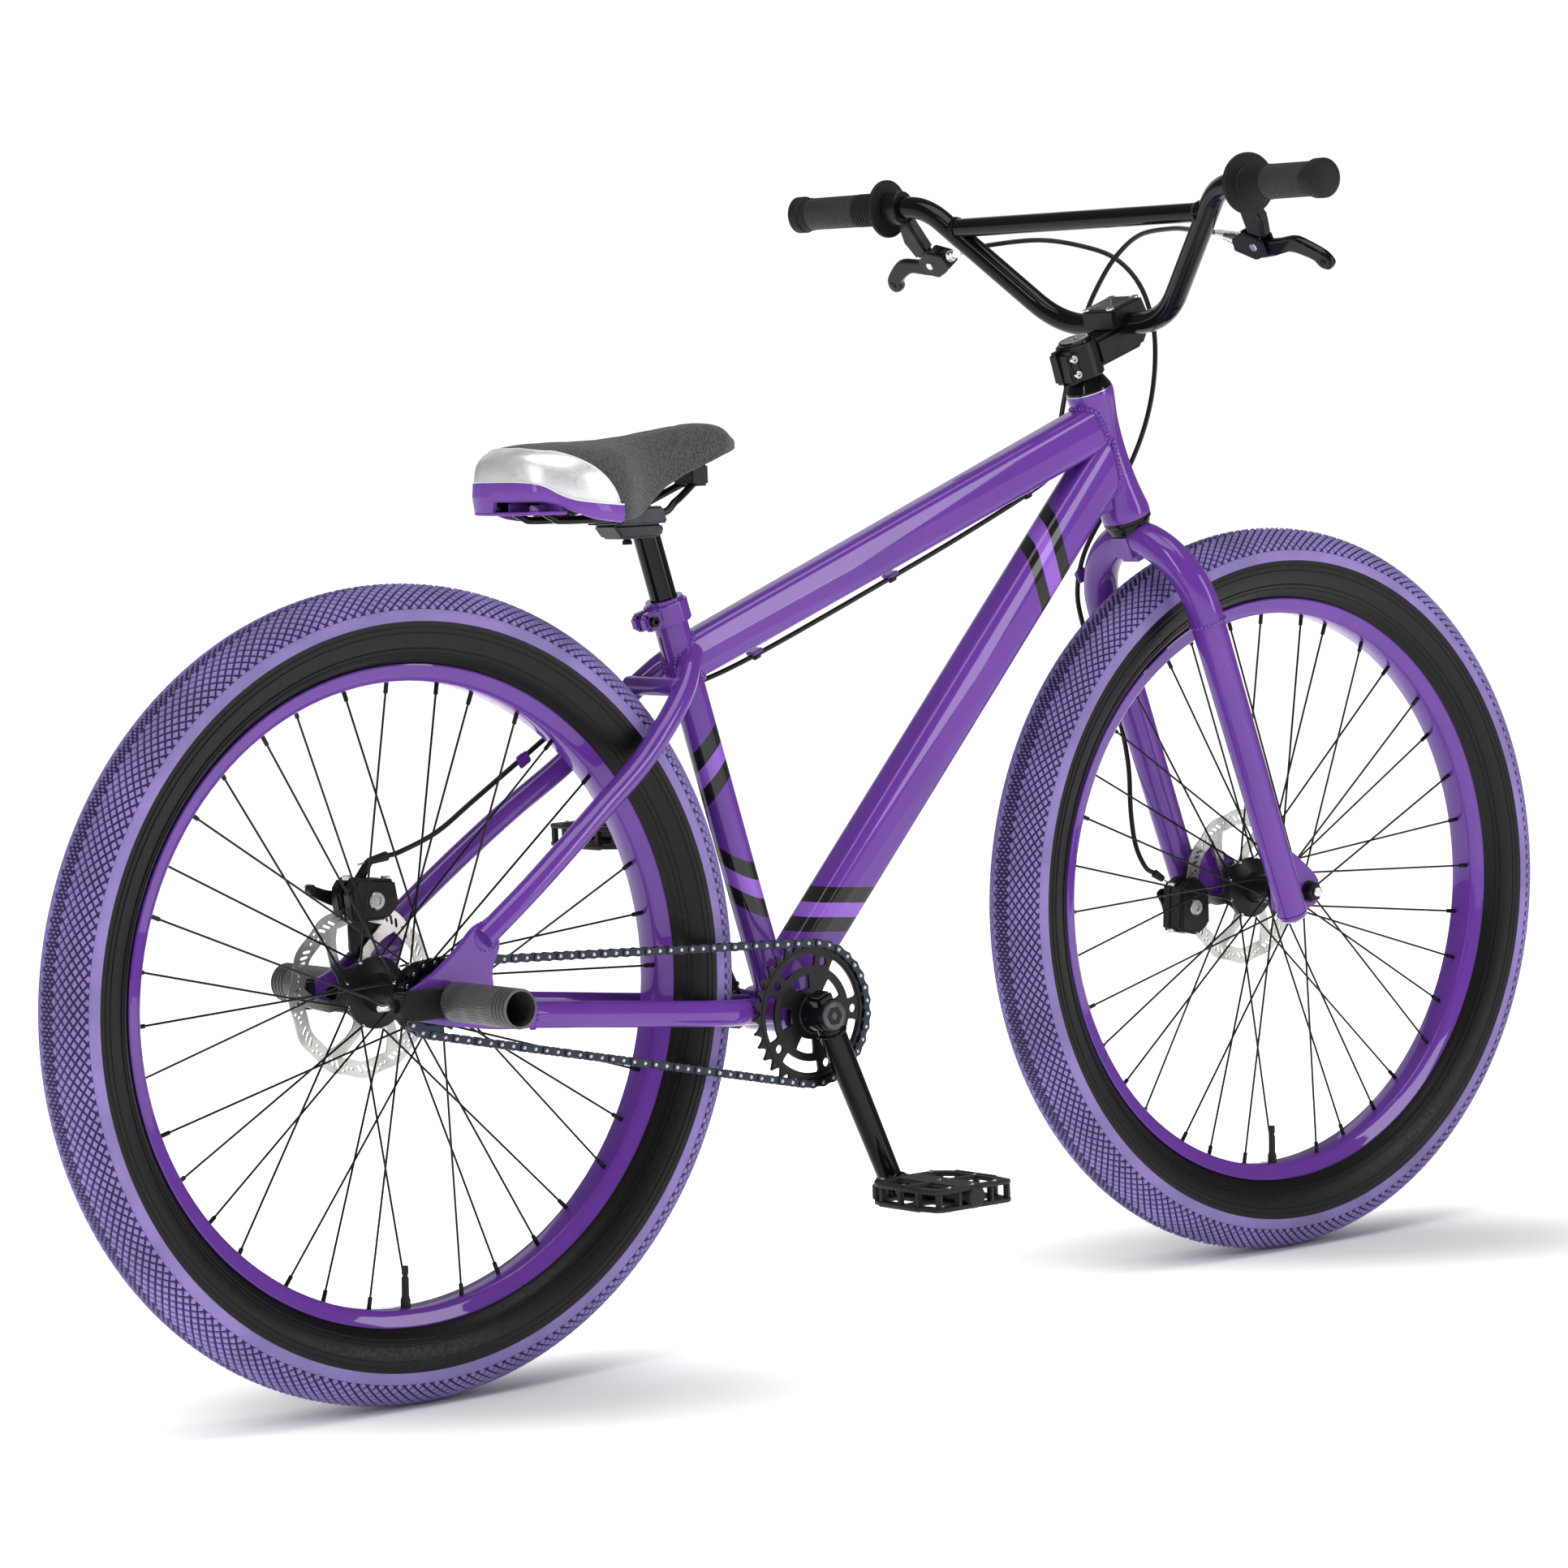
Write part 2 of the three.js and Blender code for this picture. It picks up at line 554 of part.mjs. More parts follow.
// One side's spokes, crossing three times, joined by a hoop around the hub flange.
function spokes(x, flangeY, hoopR) {
  const centre = v(x, 0, AXLE_Z);
  const section = [[hoopR, -2.2], [hoopR + 2.8, -2.2], [hoopR + 2.8, 2.2], [hoopR, 2.2]];
  const hoop = turned(section, SPOKES_PER_SIDE, v(x, flangeY, AXLE_Z));
  const rimY = Math.sign(flangeY) * 4;
  const bodies = Array.from({ length: SPOKES_PER_SIDE }, (_, i) => {
    const lead = i % 2 === 0 ? 1 : -1;
    const hub = (2 * Math.PI * (i + (flangeY > 0 ? 0.5 : 0))) / SPOKES_PER_SIDE;
    const end = hub + lead * (Math.PI / 3);
    const start = hub + lead * (Math.PI / 6);
    const from = centre.clone().add(
      v((hoopR + 1.4) * Math.cos(start), flangeY + lead * 0.7, (hoopR + 1.4) * Math.sin(start)));
    const to = centre.clone().add(
      v(SPOKE_END_R * Math.cos(end), rimY + lead * 3, SPOKE_END_R * Math.sin(end)));
    return rod(from, to, 1.1, 1.1, 3);
  });
  return join(hoop, ...bodies);
}

function hub(x, profile) {
  return turned(profile, 12, v(x, 0, AXLE_Z));
}

function rotor(x, y) {
  const window = (i) => {
    const a = (i * Math.PI) / 3;
    const arc = (r, from, to, n) => Array.from({ length: n }, (_, k) => {
      const t = a + from + ((to - from) * k) / (n - 1);
      return [r * Math.cos(t), r * Math.sin(t)];
    });
    return [...arc(64, 0.1, 0.95, 4), ...arc(31, 1.0, 0.3, 2)];
  };
  const holes = [circle(17.4, 12), ...Array.from({ length: 6 }, (_, i) => window(i))];
  return plate(circle(ROTOR_R, 32), y - 0.9, y + 0.9, holes, x, AXLE_Z);
}

function toothed(teeth, tip, root, turn = 0) {
  return Array.from({ length: teeth * 2 }, (_, i) => {
    const a = turn + (Math.PI * i) / teeth;
    const r = i % 2 === 0 ? tip : root;
    return [r * Math.cos(a), r * Math.sin(a)];
  });
}

// ---- drivetrain ----

function sprocket() {
  const holes = Array.from({ length: 5 }, (_, i) => {
    const a = (2 * Math.PI * i) / 5;
    return [[30, 0.16], [54, 0.1], [57, 0.56], [54, 1.08], [30, 1.0]]
      .map(([r, t]) => [r * Math.cos(a + t), r * Math.sin(a + t)]);
  });
  const disc = plate(toothed(SPROCKET_TEETH, 70, 62.6),
    CHAIN_Y - 1.5, CHAIN_Y + 1.5, [circle(9.9, 12), ...holes], BB_X, BB_Z);
  const boss = turned([[9.9, -56.6], [19, -56.6], [19, -47], [9.9, -47]], 12, v(BB_X, 0, BB_Z));
  return join(disc, boss);
}

function cog() {
  const disc = plate(toothed(COG_TEETH, 35, 28.4),
    CHAIN_Y - 1.5, CHAIN_Y + 1.5, [circle(17.4, 12)], REAR_X, AXLE_Z);
  const boss = turned([[17.4, -57.5], [23, -57.5], [25, -48], [25, -42.3], [17.4, -42.3]],
    12, v(REAR_X, 0, AXLE_Z));
  return join(disc, boss);
}

// The outline of a belt around both cogs, moved outward by an offset.
function beltOutline(offset) {
  const big = { x: BB_X, z: BB_Z, r: SPROCKET_PITCH_R };
  const small = { x: REAR_X, z: AXLE_Z, r: COG_PITCH_R };
  const dx = small.x - big.x;
  const dz = small.z - big.z;
  const gap = Math.hypot(dx, dz);
  const line = Math.atan2(dz, dx);
  const spread = Math.acos((big.r - small.r) / gap);
  const arc = (c, from, to, n) => Array.from({ length: n }, (_, i) => {
    const a = from + ((to - from) * i) / (n - 1);
    return [c.x + (c.r + offset) * Math.cos(a), c.z + (c.r + offset) * Math.sin(a)];
  });
  return [
    ...arc(small, line - spread, line + spread, 9),
    ...arc(big, line + spread, line + 2 * Math.PI - spread, 16)];
}

function chain() {
  const full = plate(beltOutline(4.6), CHAIN_Y - 4.6, CHAIN_Y + 4.6, [beltOutline(-4.4)]);
  const groove = plate(beltOutline(3.6), CHAIN_Y - 2.1, CHAIN_Y + 2.1);
  return cut(full, groove);
}

const crankCentre = (y) => v(BB_X, y, BB_Z);
const crankEnd = (y) => crankCentre(y).addScaledVector(CRANK_DIR, CRANK_LENGTH);

function spindle() {
  const profile = [[0.02, -86], [11.5, -86], [12, -83.4], [9.5, -83.4], [9.5, 83.4], [12, 83.4],
    [11.5, 86], [0.02, 86]];
  return turned(profile, 14, v(BB_X, 0, BB_Z));
}

function crankArm() {
  const arm = rod(crankCentre(-70), crankEnd(-84), 12.5, 12.5, 12);
  const root = rod(crankCentre(-57), crankCentre(-83), 16.5, 16.5, 14);
  const eye = rod(crankEnd(-73), crankEnd(-96), 14, 13, 12);
  const axle = rod(crankEnd(-90), crankEnd(-190), 7, 5, 8);
  return cut(join(arm, root, eye, axle), rod(crankCentre(-50), crankCentre(-90), 9.8, 9.8, 14));
}

// The left arm points the opposite way and is on the other side.
function opposite(body) {
  const turn = new THREE.Matrix4().makeTranslation(2 * BB_X, 0, 2 * BB_Z)
    .multiply(new THREE.Matrix4().makeScale(-1, -1, -1));
  return solid(geometryOf(body).applyMatrix4(turn));
}

function pedal() {
  const centre = crankEnd(0);
  const plan = [[-36, -101], [36, -101], [50, -122], [50, -176], [45, -203], [-45, -203],
    [-50, -176], [-50, -122]];
  const slab = hull(plan.flatMap(([x, y]) => [-12, 12].map((z) => v(centre.x + x, y, centre.z + z))));
  const windows = [-1, 1].map((side) => hull([[16, -110], [32, -110], [41, -125], [41, -176],
    [37, -194], [16, -194]]
    .flatMap(([x, y]) => [-20, 20].map((z) => v(centre.x + side * x, y, centre.z + z)))));
  const cap = rod(crankEnd(-200), crankEnd(-206), 10, 8, 12);
  const bore = rod(crankEnd(-98), crankEnd(-193), 7.6, 7.6, 10);
  return cut(join(slab, cap), bore, ...windows);
}

// Two bearings and the sleeve that keeps them apart.
function bearings() {
  const profile = [[10, -35.7], [17.1, -35.7], [17.1, -27], [12, -27], [12, 27], [17.1, 27],
    [17.1, 35.7], [10, 35.7]];
  return turned(profile, 14, v(BB_X, 0, BB_Z));
}

// ---- axles, pegs and tensioners ----

function rearAxle() {
  const profile = [
    [0.02, -107], [7, -107], [7, -104], [11.5, -104], [11.5, -92.4], [7, -92.4], [7, 92.4],
    [11.5, 92.4], [11.5, 104], [7, 104], [7, 107], [0.02, 107]];
  return turned(profile, 12, v(REAR_X, 0, AXLE_Z));
}

function frontAxle() {
  const half = [[5, -70], [9, -66], [9, -57.4], [5, -57.4], [5, -50], [8.5, -50], [8.5, -46.4],
    [5, -46.4]];
  const profile = [[0.02, -70], ...half, ...half.slice().reverse().map(([r, y]) => [r, -y]), [0.02, 70]];
  return turned(profile, 10, v(FRONT_X, 0, AXLE_Z));
}

function peg() {
  const profile = [[7.4, -92], [15.6, -92], [15.6, -182.5], [18, -182.5], [18, -86], [7.4, -86]];
  return turned(profile, 18, v(REAR_X, 0, AXLE_Z));
}

function tensioner() {
  const face = plate([[-601, 357.5], [-560, 357.5], [-536, 358], [-527, 363], [-527, 377],
    [-536, 382], [-560, 382.5], [-601, 382.5]],
    -85.7, -77.4, [circle(7.4, 12, 0, REAR_X, AXLE_Z)]);
  const back = block(-601, -591, -85.7, -66, 357.5, 382.5);
  const bolt = rod(v(-600, -70, AXLE_Z), v(-619, -70, AXLE_Z), 3.2, 3.2, 8);
  return join(face, back, bolt);
}

// ---- brakes ----

function rearCaliper() {
  const body = hull([[-561, 434], [-524, 434], [-510, 446], [-514, 470], [-556, 474], [-565, 462]]
    .flatMap(([x, z]) => [v(x, 44, z), v(x, 79, z)]));
  const slot = block(-575, -495, 58.6, 63.4, 420, 452);
  const bracket = plate([[-552, 400], [-530, 400], [-523, 436], [-552, 436]], 64.2, 69.3);
  const knob = rod(v(-536, 46, 452), v(-536, 40, 452), 11, 11, 12);
  const post = rod(v(-540, 70, 466), v(-528, 66, 486), 5, 4, 8);
  return join(cut(body, slot), bracket, knob, post);
}

function rearCaliperArm() {
  const outline = [[-560, 445], [-535, 444], [-530, 456], [-545, 466], [-584, 472], [-590, 466],
    [-585, 460]];
  return plate(outline, 79.4, 84);
}

function frontCaliper() {
  const body = hull([[447, 333], [472, 327], [489, 338], [489, 372], [470, 388], [450, 380]]
    .flatMap(([x, z]) => [v(x, 29.5, z), v(x, 60, z)]));
  const slot = block(465, 500, 40.1, 44.9, 320, 400);
  const bracket = hull([[470, 372], [487, 372], [490, 396],
    [476, 396]].flatMap(([x, z]) => [v(x, 46, z), v(x, 55.5, z)]));
  const knob = rod(v(468, 31, 356), v(468, 27.4, 356), 11, 11, 12);
  return join(cut(body, slot), bracket, knob);
}

function frontCaliperArm() {
  const outline = [[456, 346], [474, 346], [476, 362], [466, 372], [446, 384], [440, 378], [452, 364]];
  return plate(outline, 60.4, 65);
}

const FRONT_CABLE = [
  v(330, 195.5, 1032), v(345, 174, 1037.6), v(380, 138.7, 1040.7), v(402, 99.7, 1033), v(416, 64.8, 1019),
  v(424, 38.6, 992), v(425, 22, 955), v(421, 15, 918), v(414, 15, 877), v(404, 21, 838), v(394, 36, 800),
  v(384, 60, 760), v(378, 84, 720), v(378, 95, 680), v(388, 96, 640), v(402, 95.5, 600), v(427, 94, 556),
  v(438, 92, 504), v(436, 88, 454), v(434, 80, 420), v(438, 71, 398), v(447, 68, 391),
];
const REAR_CABLE = [
  v(328, -195.5, 1033), v(365, -104, 1041), v(382, -54, 1044), v(396, 6, 1040), v(400, 46, 1020),
  v(394, 66, 993), v(378, 70, 962), v(352, 64, 915), v(325, 50, 870), v(302, 34, 832), v(276, 16, 806),
  v(233, 5, 787.5), v(140, 2, 749.5), v(50, 0, 715), v(-51, 0, 676.5), v(-118, 4, 650.5),
  v(-165, 12, 633),
  v(-196, 24, 624), v(-222, 46, 620), v(-262, 62, 613), v(-310, 70, 589), v(-345, 75, 566),
  v(-400, 80, 530),
  v(-440, 82, 505), v(-484, 78, 491), v(-505, 71, 489),
];

// ---- assembly ----

add('head_tube', headTube(), PURPLE);
add('top_tube', topTube(), PURPLE);
add('down_tube', downTube(), PURPLE);
add('seat_tube', seatTube(), PURPLE);
add('bb_shell', cut(shellOuter(0), rod(v(BB_X, -40, BB_Z), v(BB_X, 40, BB_Z), 17.5, 17.5, 18)), PURPLE);
addPair('chainstay', chainstay(), PURPLE);
add('seatstays', seatstays(), PURPLE);
add('seat_clamp', seatClamp(), PURPLE);
add('seatpost', seatpost(), BLACK);
add('saddle_rails', rails(3.5), BLACK);
add('saddle_base', saddleBase(), PURPLE);
add('saddle_cover', saddleCover(), COVER);
add('headset_upper', headsetUpper(), BLACK);
add('headset_lower', headsetLower(), BLACK);
add('bb_bearings', bearings(), STEEL);
add('rear_axle', rearAxle(), BLACK);
addPair('peg', peg(), BLACK);
addPair('chain_tensioner', tensioner(), BLACK);
add('rear_caliper', rearCaliper(), BLACK);
add('rear_caliper_arm', rearCaliperArm(), BLACK);
add('rear_brake_cable', along(smooth(REAR_CABLE), circle(2.5, 8), 54), RUBBER);
add('chain', chain(), CHAIN_STEEL);

add('crank_spindle', spindle(), ALLOY);
add('crank_arm_r', crankArm(), BLACK);
add('crank_arm_l', opposite(crankArm()), BLACK);
add('sprocket', sprocket(), BLACK);
add('pedal_r', pedal(), PLASTIC);
add('pedal_l', opposite(pedal()), PLASTIC);

add('rear_tyre', tyre(REAR_X), VIOLET_TYRE);
add('rear_rim', rim(REAR_X, -1.6), PURPLE);
add('rear_spokes_r', spokes(REAR_X, -32.5, 34), BLACK);
add('rear_spokes_l', spokes(REAR_X, 38, 34), BLACK);
add('rear_hub', hub(REAR_X, [
  [7.4, -69.6], [10, -69.6], [10, -58], [16.5, -58], [16.5, -41], [22, -39], [22, -35.5], [33, -34],
  [33, -31],
  [17, -27], [16, 0], [17, 33], [33, 36.5], [33, 39.5], [22, 42], [22, 59.8], [12, 60], [12, 69.6],
  [7.4, 69.6],
]), BLACK);
add('rear_rotor', rotor(REAR_X, 61), STEEL);
add('rear_cog', cog(), CHAIN_STEEL);

add('fork_crown', forkCrown(), PURPLE);
addPair('fork_leg', forkLeg(), PURPLE);
add('stem', stem(), BLACK);
add('bar_clamp', barClamp(), BLACK);
add('handlebar', handlebar(), BLACK);
addPair('grip', grip(), RUBBER);
addPair('lever_perch', leverPerch(), BLACK);
addPair('brake_lever', leverBlade(), BLACK);
add('front_axle', frontAxle(), BLACK);
add('front_caliper', frontCaliper(), BLACK);
add('front_caliper_arm', frontCaliperArm(), BLACK);
add('front_brake_cable', along(smooth(FRONT_CABLE), circle(2.5, 8), 42), RUBBER);

add('front_tyre', tyre(FRONT_X), VIOLET_TYRE);
add('front_rim', rim(FRONT_X, -1.6), PURPLE);
add('front_spokes_r', spokes(FRONT_X, -26, 32), BLACK);
add('front_spokes_l', spokes(FRONT_X, 28, 32), BLACK);
add('front_hub', hub(FRONT_X, [
  [5.4, -46], [11, -46], [14, -34], [17, -30], [31, -27.5], [31, -24.5], [16, -20], [15, 0],
  [16, 22], [31, 26.5],
  [31, 29.5], [22, 32], [22, 41.2], [11, 41.4], [11, 46], [5.4, 46],
]), BLACK);
add('front_rotor', rotor(FRONT_X, 42.5), STEEL);

export default group;
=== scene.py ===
import math

import bmesh
import bpy
from mathutils import Matrix, Vector
from mathutils.bvhtree import BVHTree


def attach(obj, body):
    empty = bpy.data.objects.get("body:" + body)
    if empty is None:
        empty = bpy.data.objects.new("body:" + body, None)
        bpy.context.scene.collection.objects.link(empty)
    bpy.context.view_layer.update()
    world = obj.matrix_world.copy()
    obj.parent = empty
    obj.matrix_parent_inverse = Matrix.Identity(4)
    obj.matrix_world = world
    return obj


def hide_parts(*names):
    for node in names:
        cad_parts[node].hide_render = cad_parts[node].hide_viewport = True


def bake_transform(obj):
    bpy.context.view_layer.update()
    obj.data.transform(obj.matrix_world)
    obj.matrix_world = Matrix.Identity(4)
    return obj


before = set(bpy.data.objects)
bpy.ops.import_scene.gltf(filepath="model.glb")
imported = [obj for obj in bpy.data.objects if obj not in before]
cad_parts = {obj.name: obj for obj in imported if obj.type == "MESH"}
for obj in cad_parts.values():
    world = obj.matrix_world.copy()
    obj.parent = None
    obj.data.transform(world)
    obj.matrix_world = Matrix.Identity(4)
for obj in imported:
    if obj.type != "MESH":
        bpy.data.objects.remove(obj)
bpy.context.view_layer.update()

# Lengths in this script are millimetres until a mesh is made.
# +X is forward, +Y is the rider's left and +Z is up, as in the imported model.
MM = 0.001
AXLE_Z = 370.0
REAR_X = -545.5
FRONT_X = 545.5
BB = Vector((-110.0, 0.0, 312.0))
CRANK_DIR = Vector((0.3628, 0.0, -0.9319))
CRANK_LENGTH = 180.0
SEAT_UP = Vector((-0.2857, 0.0, 0.9583))
SEAT_BACK = Vector((-0.9583, 0.0, -0.2857))
STEER_UP = Vector((-0.3337, 0.0, 0.9427))
STEER_FWD = Vector((0.9427, 0.0, 0.3337))
HEAD_BOTTOM = Vector((361.0, 0.0, 759.6))
X_AXIS = Vector((1.0, 0.0, 0.0))
Y_AXIS = Vector((0.0, 1.0, 0.0))
Z_AXIS = Vector((0.0, 0.0, 1.0))


def vec(x, y, z):
    return Vector((x, y, z))


def steer(forward, y, up):
    """A point ahead of the steering axis, to the left, and up from the head tube's bottom."""
    return HEAD_BOTTOM + STEER_UP * up + STEER_FWD * forward + Y_AXIS * y


def seat(up):
    return BB + SEAT_UP * up


def polar(x, r, angle, y=0.0):
    """A point at a radius and angle from a wheel's axle."""
    return vec(x + r * math.cos(angle), y, AXLE_Z + r * math.sin(angle))


# ---- camera, light and floor ----

CAMERA_AZIMUTH = math.radians(-39.1)
CAMERA_ELEVATION = math.radians(4.37)
CAMERA_ROLL = math.radians(2.05)
CAMERA_PLACE = (-3.3026, -3.9503, 0.9151)
CAMERA_LENS = 123.36


def place_camera():
    a, e, c = CAMERA_AZIMUTH, CAMERA_ELEVATION, CAMERA_ROLL
    back = vec(math.sin(a) * math.cos(e), -math.cos(a) * math.cos(e), math.sin(e))
    right = (-back).cross(Z_AXIS).normalized()
    down = (-back).cross(right)
    rolled_right = right * math.cos(c) + down * math.sin(c)
    rolled_down = down * math.cos(c) - right * math.sin(c)
    data = bpy.data.cameras.new("camera")
    data.lens = CAMERA_LENS
    data.sensor_width = 36.0
    data.clip_end = 100.0
    camera = bpy.data.objects.new("camera", data)
    bpy.context.scene.collection.objects.link(camera)
    rotation = Matrix((rolled_right, -rolled_down, back)).transposed().to_4x4()
    camera.matrix_world = Matrix.Translation(CAMERA_PLACE) @ rotation
    bpy.context.scene.camera = camera


def area_light(name, place, target, size, power):
    data = bpy.data.lights.new(name, "AREA")
    data.shape = "RECTANGLE"
    data.size, data.size_y = size
    data.energy = power
    light = bpy.data.objects.new(name, data)
    bpy.context.scene.collection.objects.link(light)
    direction = Vector(target) - Vector(place)
    light.matrix_world = Matrix.Translation(place) @ direction.to_track_quat("-Z", "Y").to_matrix().to_4x4()


def light_studio():
    """A white room seen by the camera, softer for the lighting, with large soft boxes."""
    world = bpy.data.worlds.new("studio")
    world.use_nodes = True
    nodes, links = world.node_tree.nodes, world.node_tree.links
    background = nodes["Background"]
    background.inputs["Color"].default_value = (1.0, 1.0, 1.0, 1.0)
    path = nodes.new("ShaderNodeLightPath")
    strength = nodes.new("ShaderNodeMapRange")
    strength.inputs["To Min"].default_value = 0.2
    strength.inputs["To Max"].default_value = 1.05
    links.new(path.outputs["Is Camera Ray"], strength.inputs["Value"])
    links.new(strength.outputs["Result"], background.inputs["Strength"])
    bpy.context.scene.world = world
    area_light("top_box", (-0.4, -0.6, 3.6), (0, 0, 0.5), (3.0, 2.0), 68)
    area_light("left_box", (-3.6, -1.2, 2.0), (0, 0, 0.6), (0.5, 2.6), 34)
    area_light("right_box", (2.2, -3.4, 1.7), (0.1, 0, 0.6), (1.0, 2.4), 44)
    area_light("back_box", (1.4, 3.2, 2.2), (0, 0, 0.6), (2.4, 1.6), 8)
    bpy.context.scene.view_settings.view_transform = "Standard"


def floor_glow_with_painted_shadow(material, x):
    """How bright the floor glows, with a painted contact shadow: no glow beside a tyre's contact, and full
    some way off.
    """
    mapping = add_node(material, "ShaderNodeMapping")
    turn = CAMERA_AZIMUTH
    shift = vec(x * MM, 0, 0) + vec(math.cos(turn), math.sin(turn), 0) * 0.1
    mapping.vector_type = "TEXTURE"
    mapping.inputs["Location"].default_value = shift
    mapping.inputs["Rotation"].default_value = (0, 0, turn)
    mapping.inputs["Scale"].default_value = (1.0, 0.6, 1.0)
    connect(material, place_of(material), mapping.inputs["Vector"])
    distance = add_node(material, "ShaderNodeVectorMath", operation="LENGTH")
    connect(material, mapping.outputs["Vector"], distance.inputs[0])
    shadowed_glow = add_node(material, "ShaderNodeMapRange", interpolation_type="SMOOTHSTEP")
    shadowed_glow.inputs["From Min"].default_value = 0.06
    shadowed_glow.inputs["From Max"].default_value = 0.62
    shadowed_glow.inputs["To Min"].default_value = 0.0
    shadowed_glow.inputs["To Max"].default_value = 1.0
    connect(material, distance.outputs["Value"], shadowed_glow.inputs["Value"])
    return shadowed_glow.outputs["Result"]


def lay_floor():
    side = 30.0
    mesh = bpy.data.meshes.new("floor")
    corners = [(-side, -side, 0), (side, -side, 0), (side, side, 0), (-side, side, 0)]
    mesh.from_pydata([(x, y, -0.0005) for x, y, _ in corners], [], [(0, 1, 2, 3)])
    floor = bpy.data.objects.new("floor", mesh)
    bpy.context.scene.collection.objects.link(floor)
    material, shader = new_material("floor_white_painted_shadow", (0.93, 0.93, 0.93), 0.9)
    shader.inputs["Emission Color"].default_value = (1.0, 1.0, 1.0, 1.0)
    # The glow dips to nothing at each tyre's contact: a painted contact shadow on the floor.
    shadowed_glow = None
    for x in (REAR_X, FRONT_X):
        one_wheel_shadowed_glow = floor_glow_with_painted_shadow(material, x)
        shadowed_glow = one_wheel_shadowed_glow if shadowed_glow is None else math_node(material, "MINIMUM", shadowed_glow, one_wheel_shadowed_glow)
    connect(material, shadowed_glow, shader.inputs["Emission Strength"])
    mesh.materials.append(material)


# ---- materials ----

PURPLE = (0.122, 0.032, 0.290)
LIGHT_VIOLET = (0.27, 0.105, 0.56)
DEEP_BLACK = (0.008, 0.008, 0.009)


def new_material(name, colour, roughness, metallic=0.0):
    material = bpy.data.materials.new(name)
    material.use_nodes = True
    shader = material.node_tree.nodes["Principled BSDF"]
    shader.inputs["Base Color"].default_value = (*colour, 1.0)
    shader.inputs["Roughness"].default_value = roughness
    shader.inputs["Metallic"].default_value = metallic
    return material, shader


def add_node(material, kind, **settings):
    node = material.node_tree.nodes.new(kind)
    for name, value in settings.items():
        setattr(node, name, value)
    return node


def connect(material, source, target):
    material.node_tree.links.new(source, target)


def math_node(material, operation, a, b=0.0):
    """A math node whose two inputs are numbers or other nodes' outputs."""
    node = add_node(material, "ShaderNodeMath", operation=operation)
    for socket, value in zip(node.inputs, (a, b)):
        if isinstance(value, (int, float)):
            socket.default_value = value
        else:
            connect(material, value, socket)
    return node.outputs["Value"]


def place_of(material):
    """The point on the piece at rest, in metres."""
    return add_node(material, "ShaderNodeTexCoord").outputs["Object"]


def noise(material, scale, detail=3.0, stretch=(1.0, 1.0, 1.0)):
    mapping = add_node(material, "ShaderNodeMapping")
    mapping.inputs["Scale"].default_value = stretch
    connect(material, place_of(material), mapping.inputs["Vector"])
    texture = add_node(material, "ShaderNodeTexNoise")
    texture.inputs["Scale"].default_value = scale
    texture.inputs["Detail"].default_value = detail
    connect(material, mapping.outputs["Vector"], texture.inputs["Vector"])
    return texture.outputs["Fac"]


def spread(material, value, low, high):
    """Maps a 0.35 to 0.65 texture value onto another range."""
    node = add_node(material, "ShaderNodeMapRange")
    node.inputs["From Min"].default_value = 0.35
    node.inputs["From Max"].default_value = 0.65
    node.inputs["To Min"].default_value = low
    node.inputs["To Max"].default_value = high
    connect(material, value, node.inputs["Value"])
    return node.outputs["Result"]


def bump(material, shader, height, distance, strength=1.0):
    node = add_node(material, "ShaderNodeBump")
    node.inputs["Distance"].default_value = distance
    node.inputs["Strength"].default_value = strength
    connect(material, height, node.inputs["Height"])
    connect(material, node.outputs["Normal"], shader.inputs["Normal"])


def mixed(material, factor, a, b):
    """Colour a where factor is 0 and b where it is 1."""
    node = add_node(material, "ShaderNodeMix", data_type="RGBA")
    connect(material, factor, node.inputs["Factor"])
    for socket, value in zip((node.inputs[6], node.inputs[7]), (a, b)):
        if isinstance(value, tuple):
            socket.default_value = (*value, 1.0)
        else:
            connect(material, value, socket)
    return node.outputs[2]


def shade(colour, factor):
    return tuple(channel * factor for channel in colour)


def paint(name, colour, roughness=0.3, coat=0.7):
    """Glossy paint with a clear coat and slight colour drift."""
    material, shader = new_material(name, colour, roughness)
    drift = spread(material, noise(material, 9.0, 4.0), 0.0, 1.0)
    tinted = mixed(material, drift, shade(colour, 0.93), shade(colour, 1.07))
    connect(material, tinted, shader.inputs["Base Color"])
    shader.inputs["Specular IOR Level"].default_value = 0.05
    shader.inputs["Coat Weight"].default_value = coat
    shader.inputs["Coat Roughness"].default_value = 0.03
    return material


def stripe_mask(material, direction, offset, bands):
    """1 inside the bands, measured in millimetres along a direction from an offset."""
    along = add_node(material, "ShaderNodeVectorMath", operation="DOT_PRODUCT")
    connect(material, place_of(material), along.inputs[0])
    along.inputs[1].default_value = direction * 1000.0
    distance = math_node(material, "SUBTRACT", along.outputs["Value"], offset)
    total = None
    for low, high in bands:
        above = math_node(material, "GREATER_THAN", distance, low)
        below = math_node(material, "LESS_THAN", distance, high)
        inside = math_node(material, "MULTIPLY", above, below)
        total = inside if total is None else math_node(material, "ADD", total, inside)
    return total


def striped_paint(name, sets):
    """Frame paint with slanted bands: each set is (direction, offset, black bands, light bands)."""
    material = paint(name, PURPLE)
    shader = material.node_tree.nodes["Principled BSDF"]
    colour = shader.inputs["Base Color"].links[0].from_socket
    for direction, offset, black, light in sets:
        light_mask = stripe_mask(material, direction, offset, light)
        colour = mixed(material, light_mask, colour, LIGHT_VIOLET)
        black_mask = stripe_mask(material, direction, offset, black)
        colour = mixed(material, black_mask, colour, DEEP_BLACK)
    connect(material, colour, shader.inputs["Base Color"])
    return material


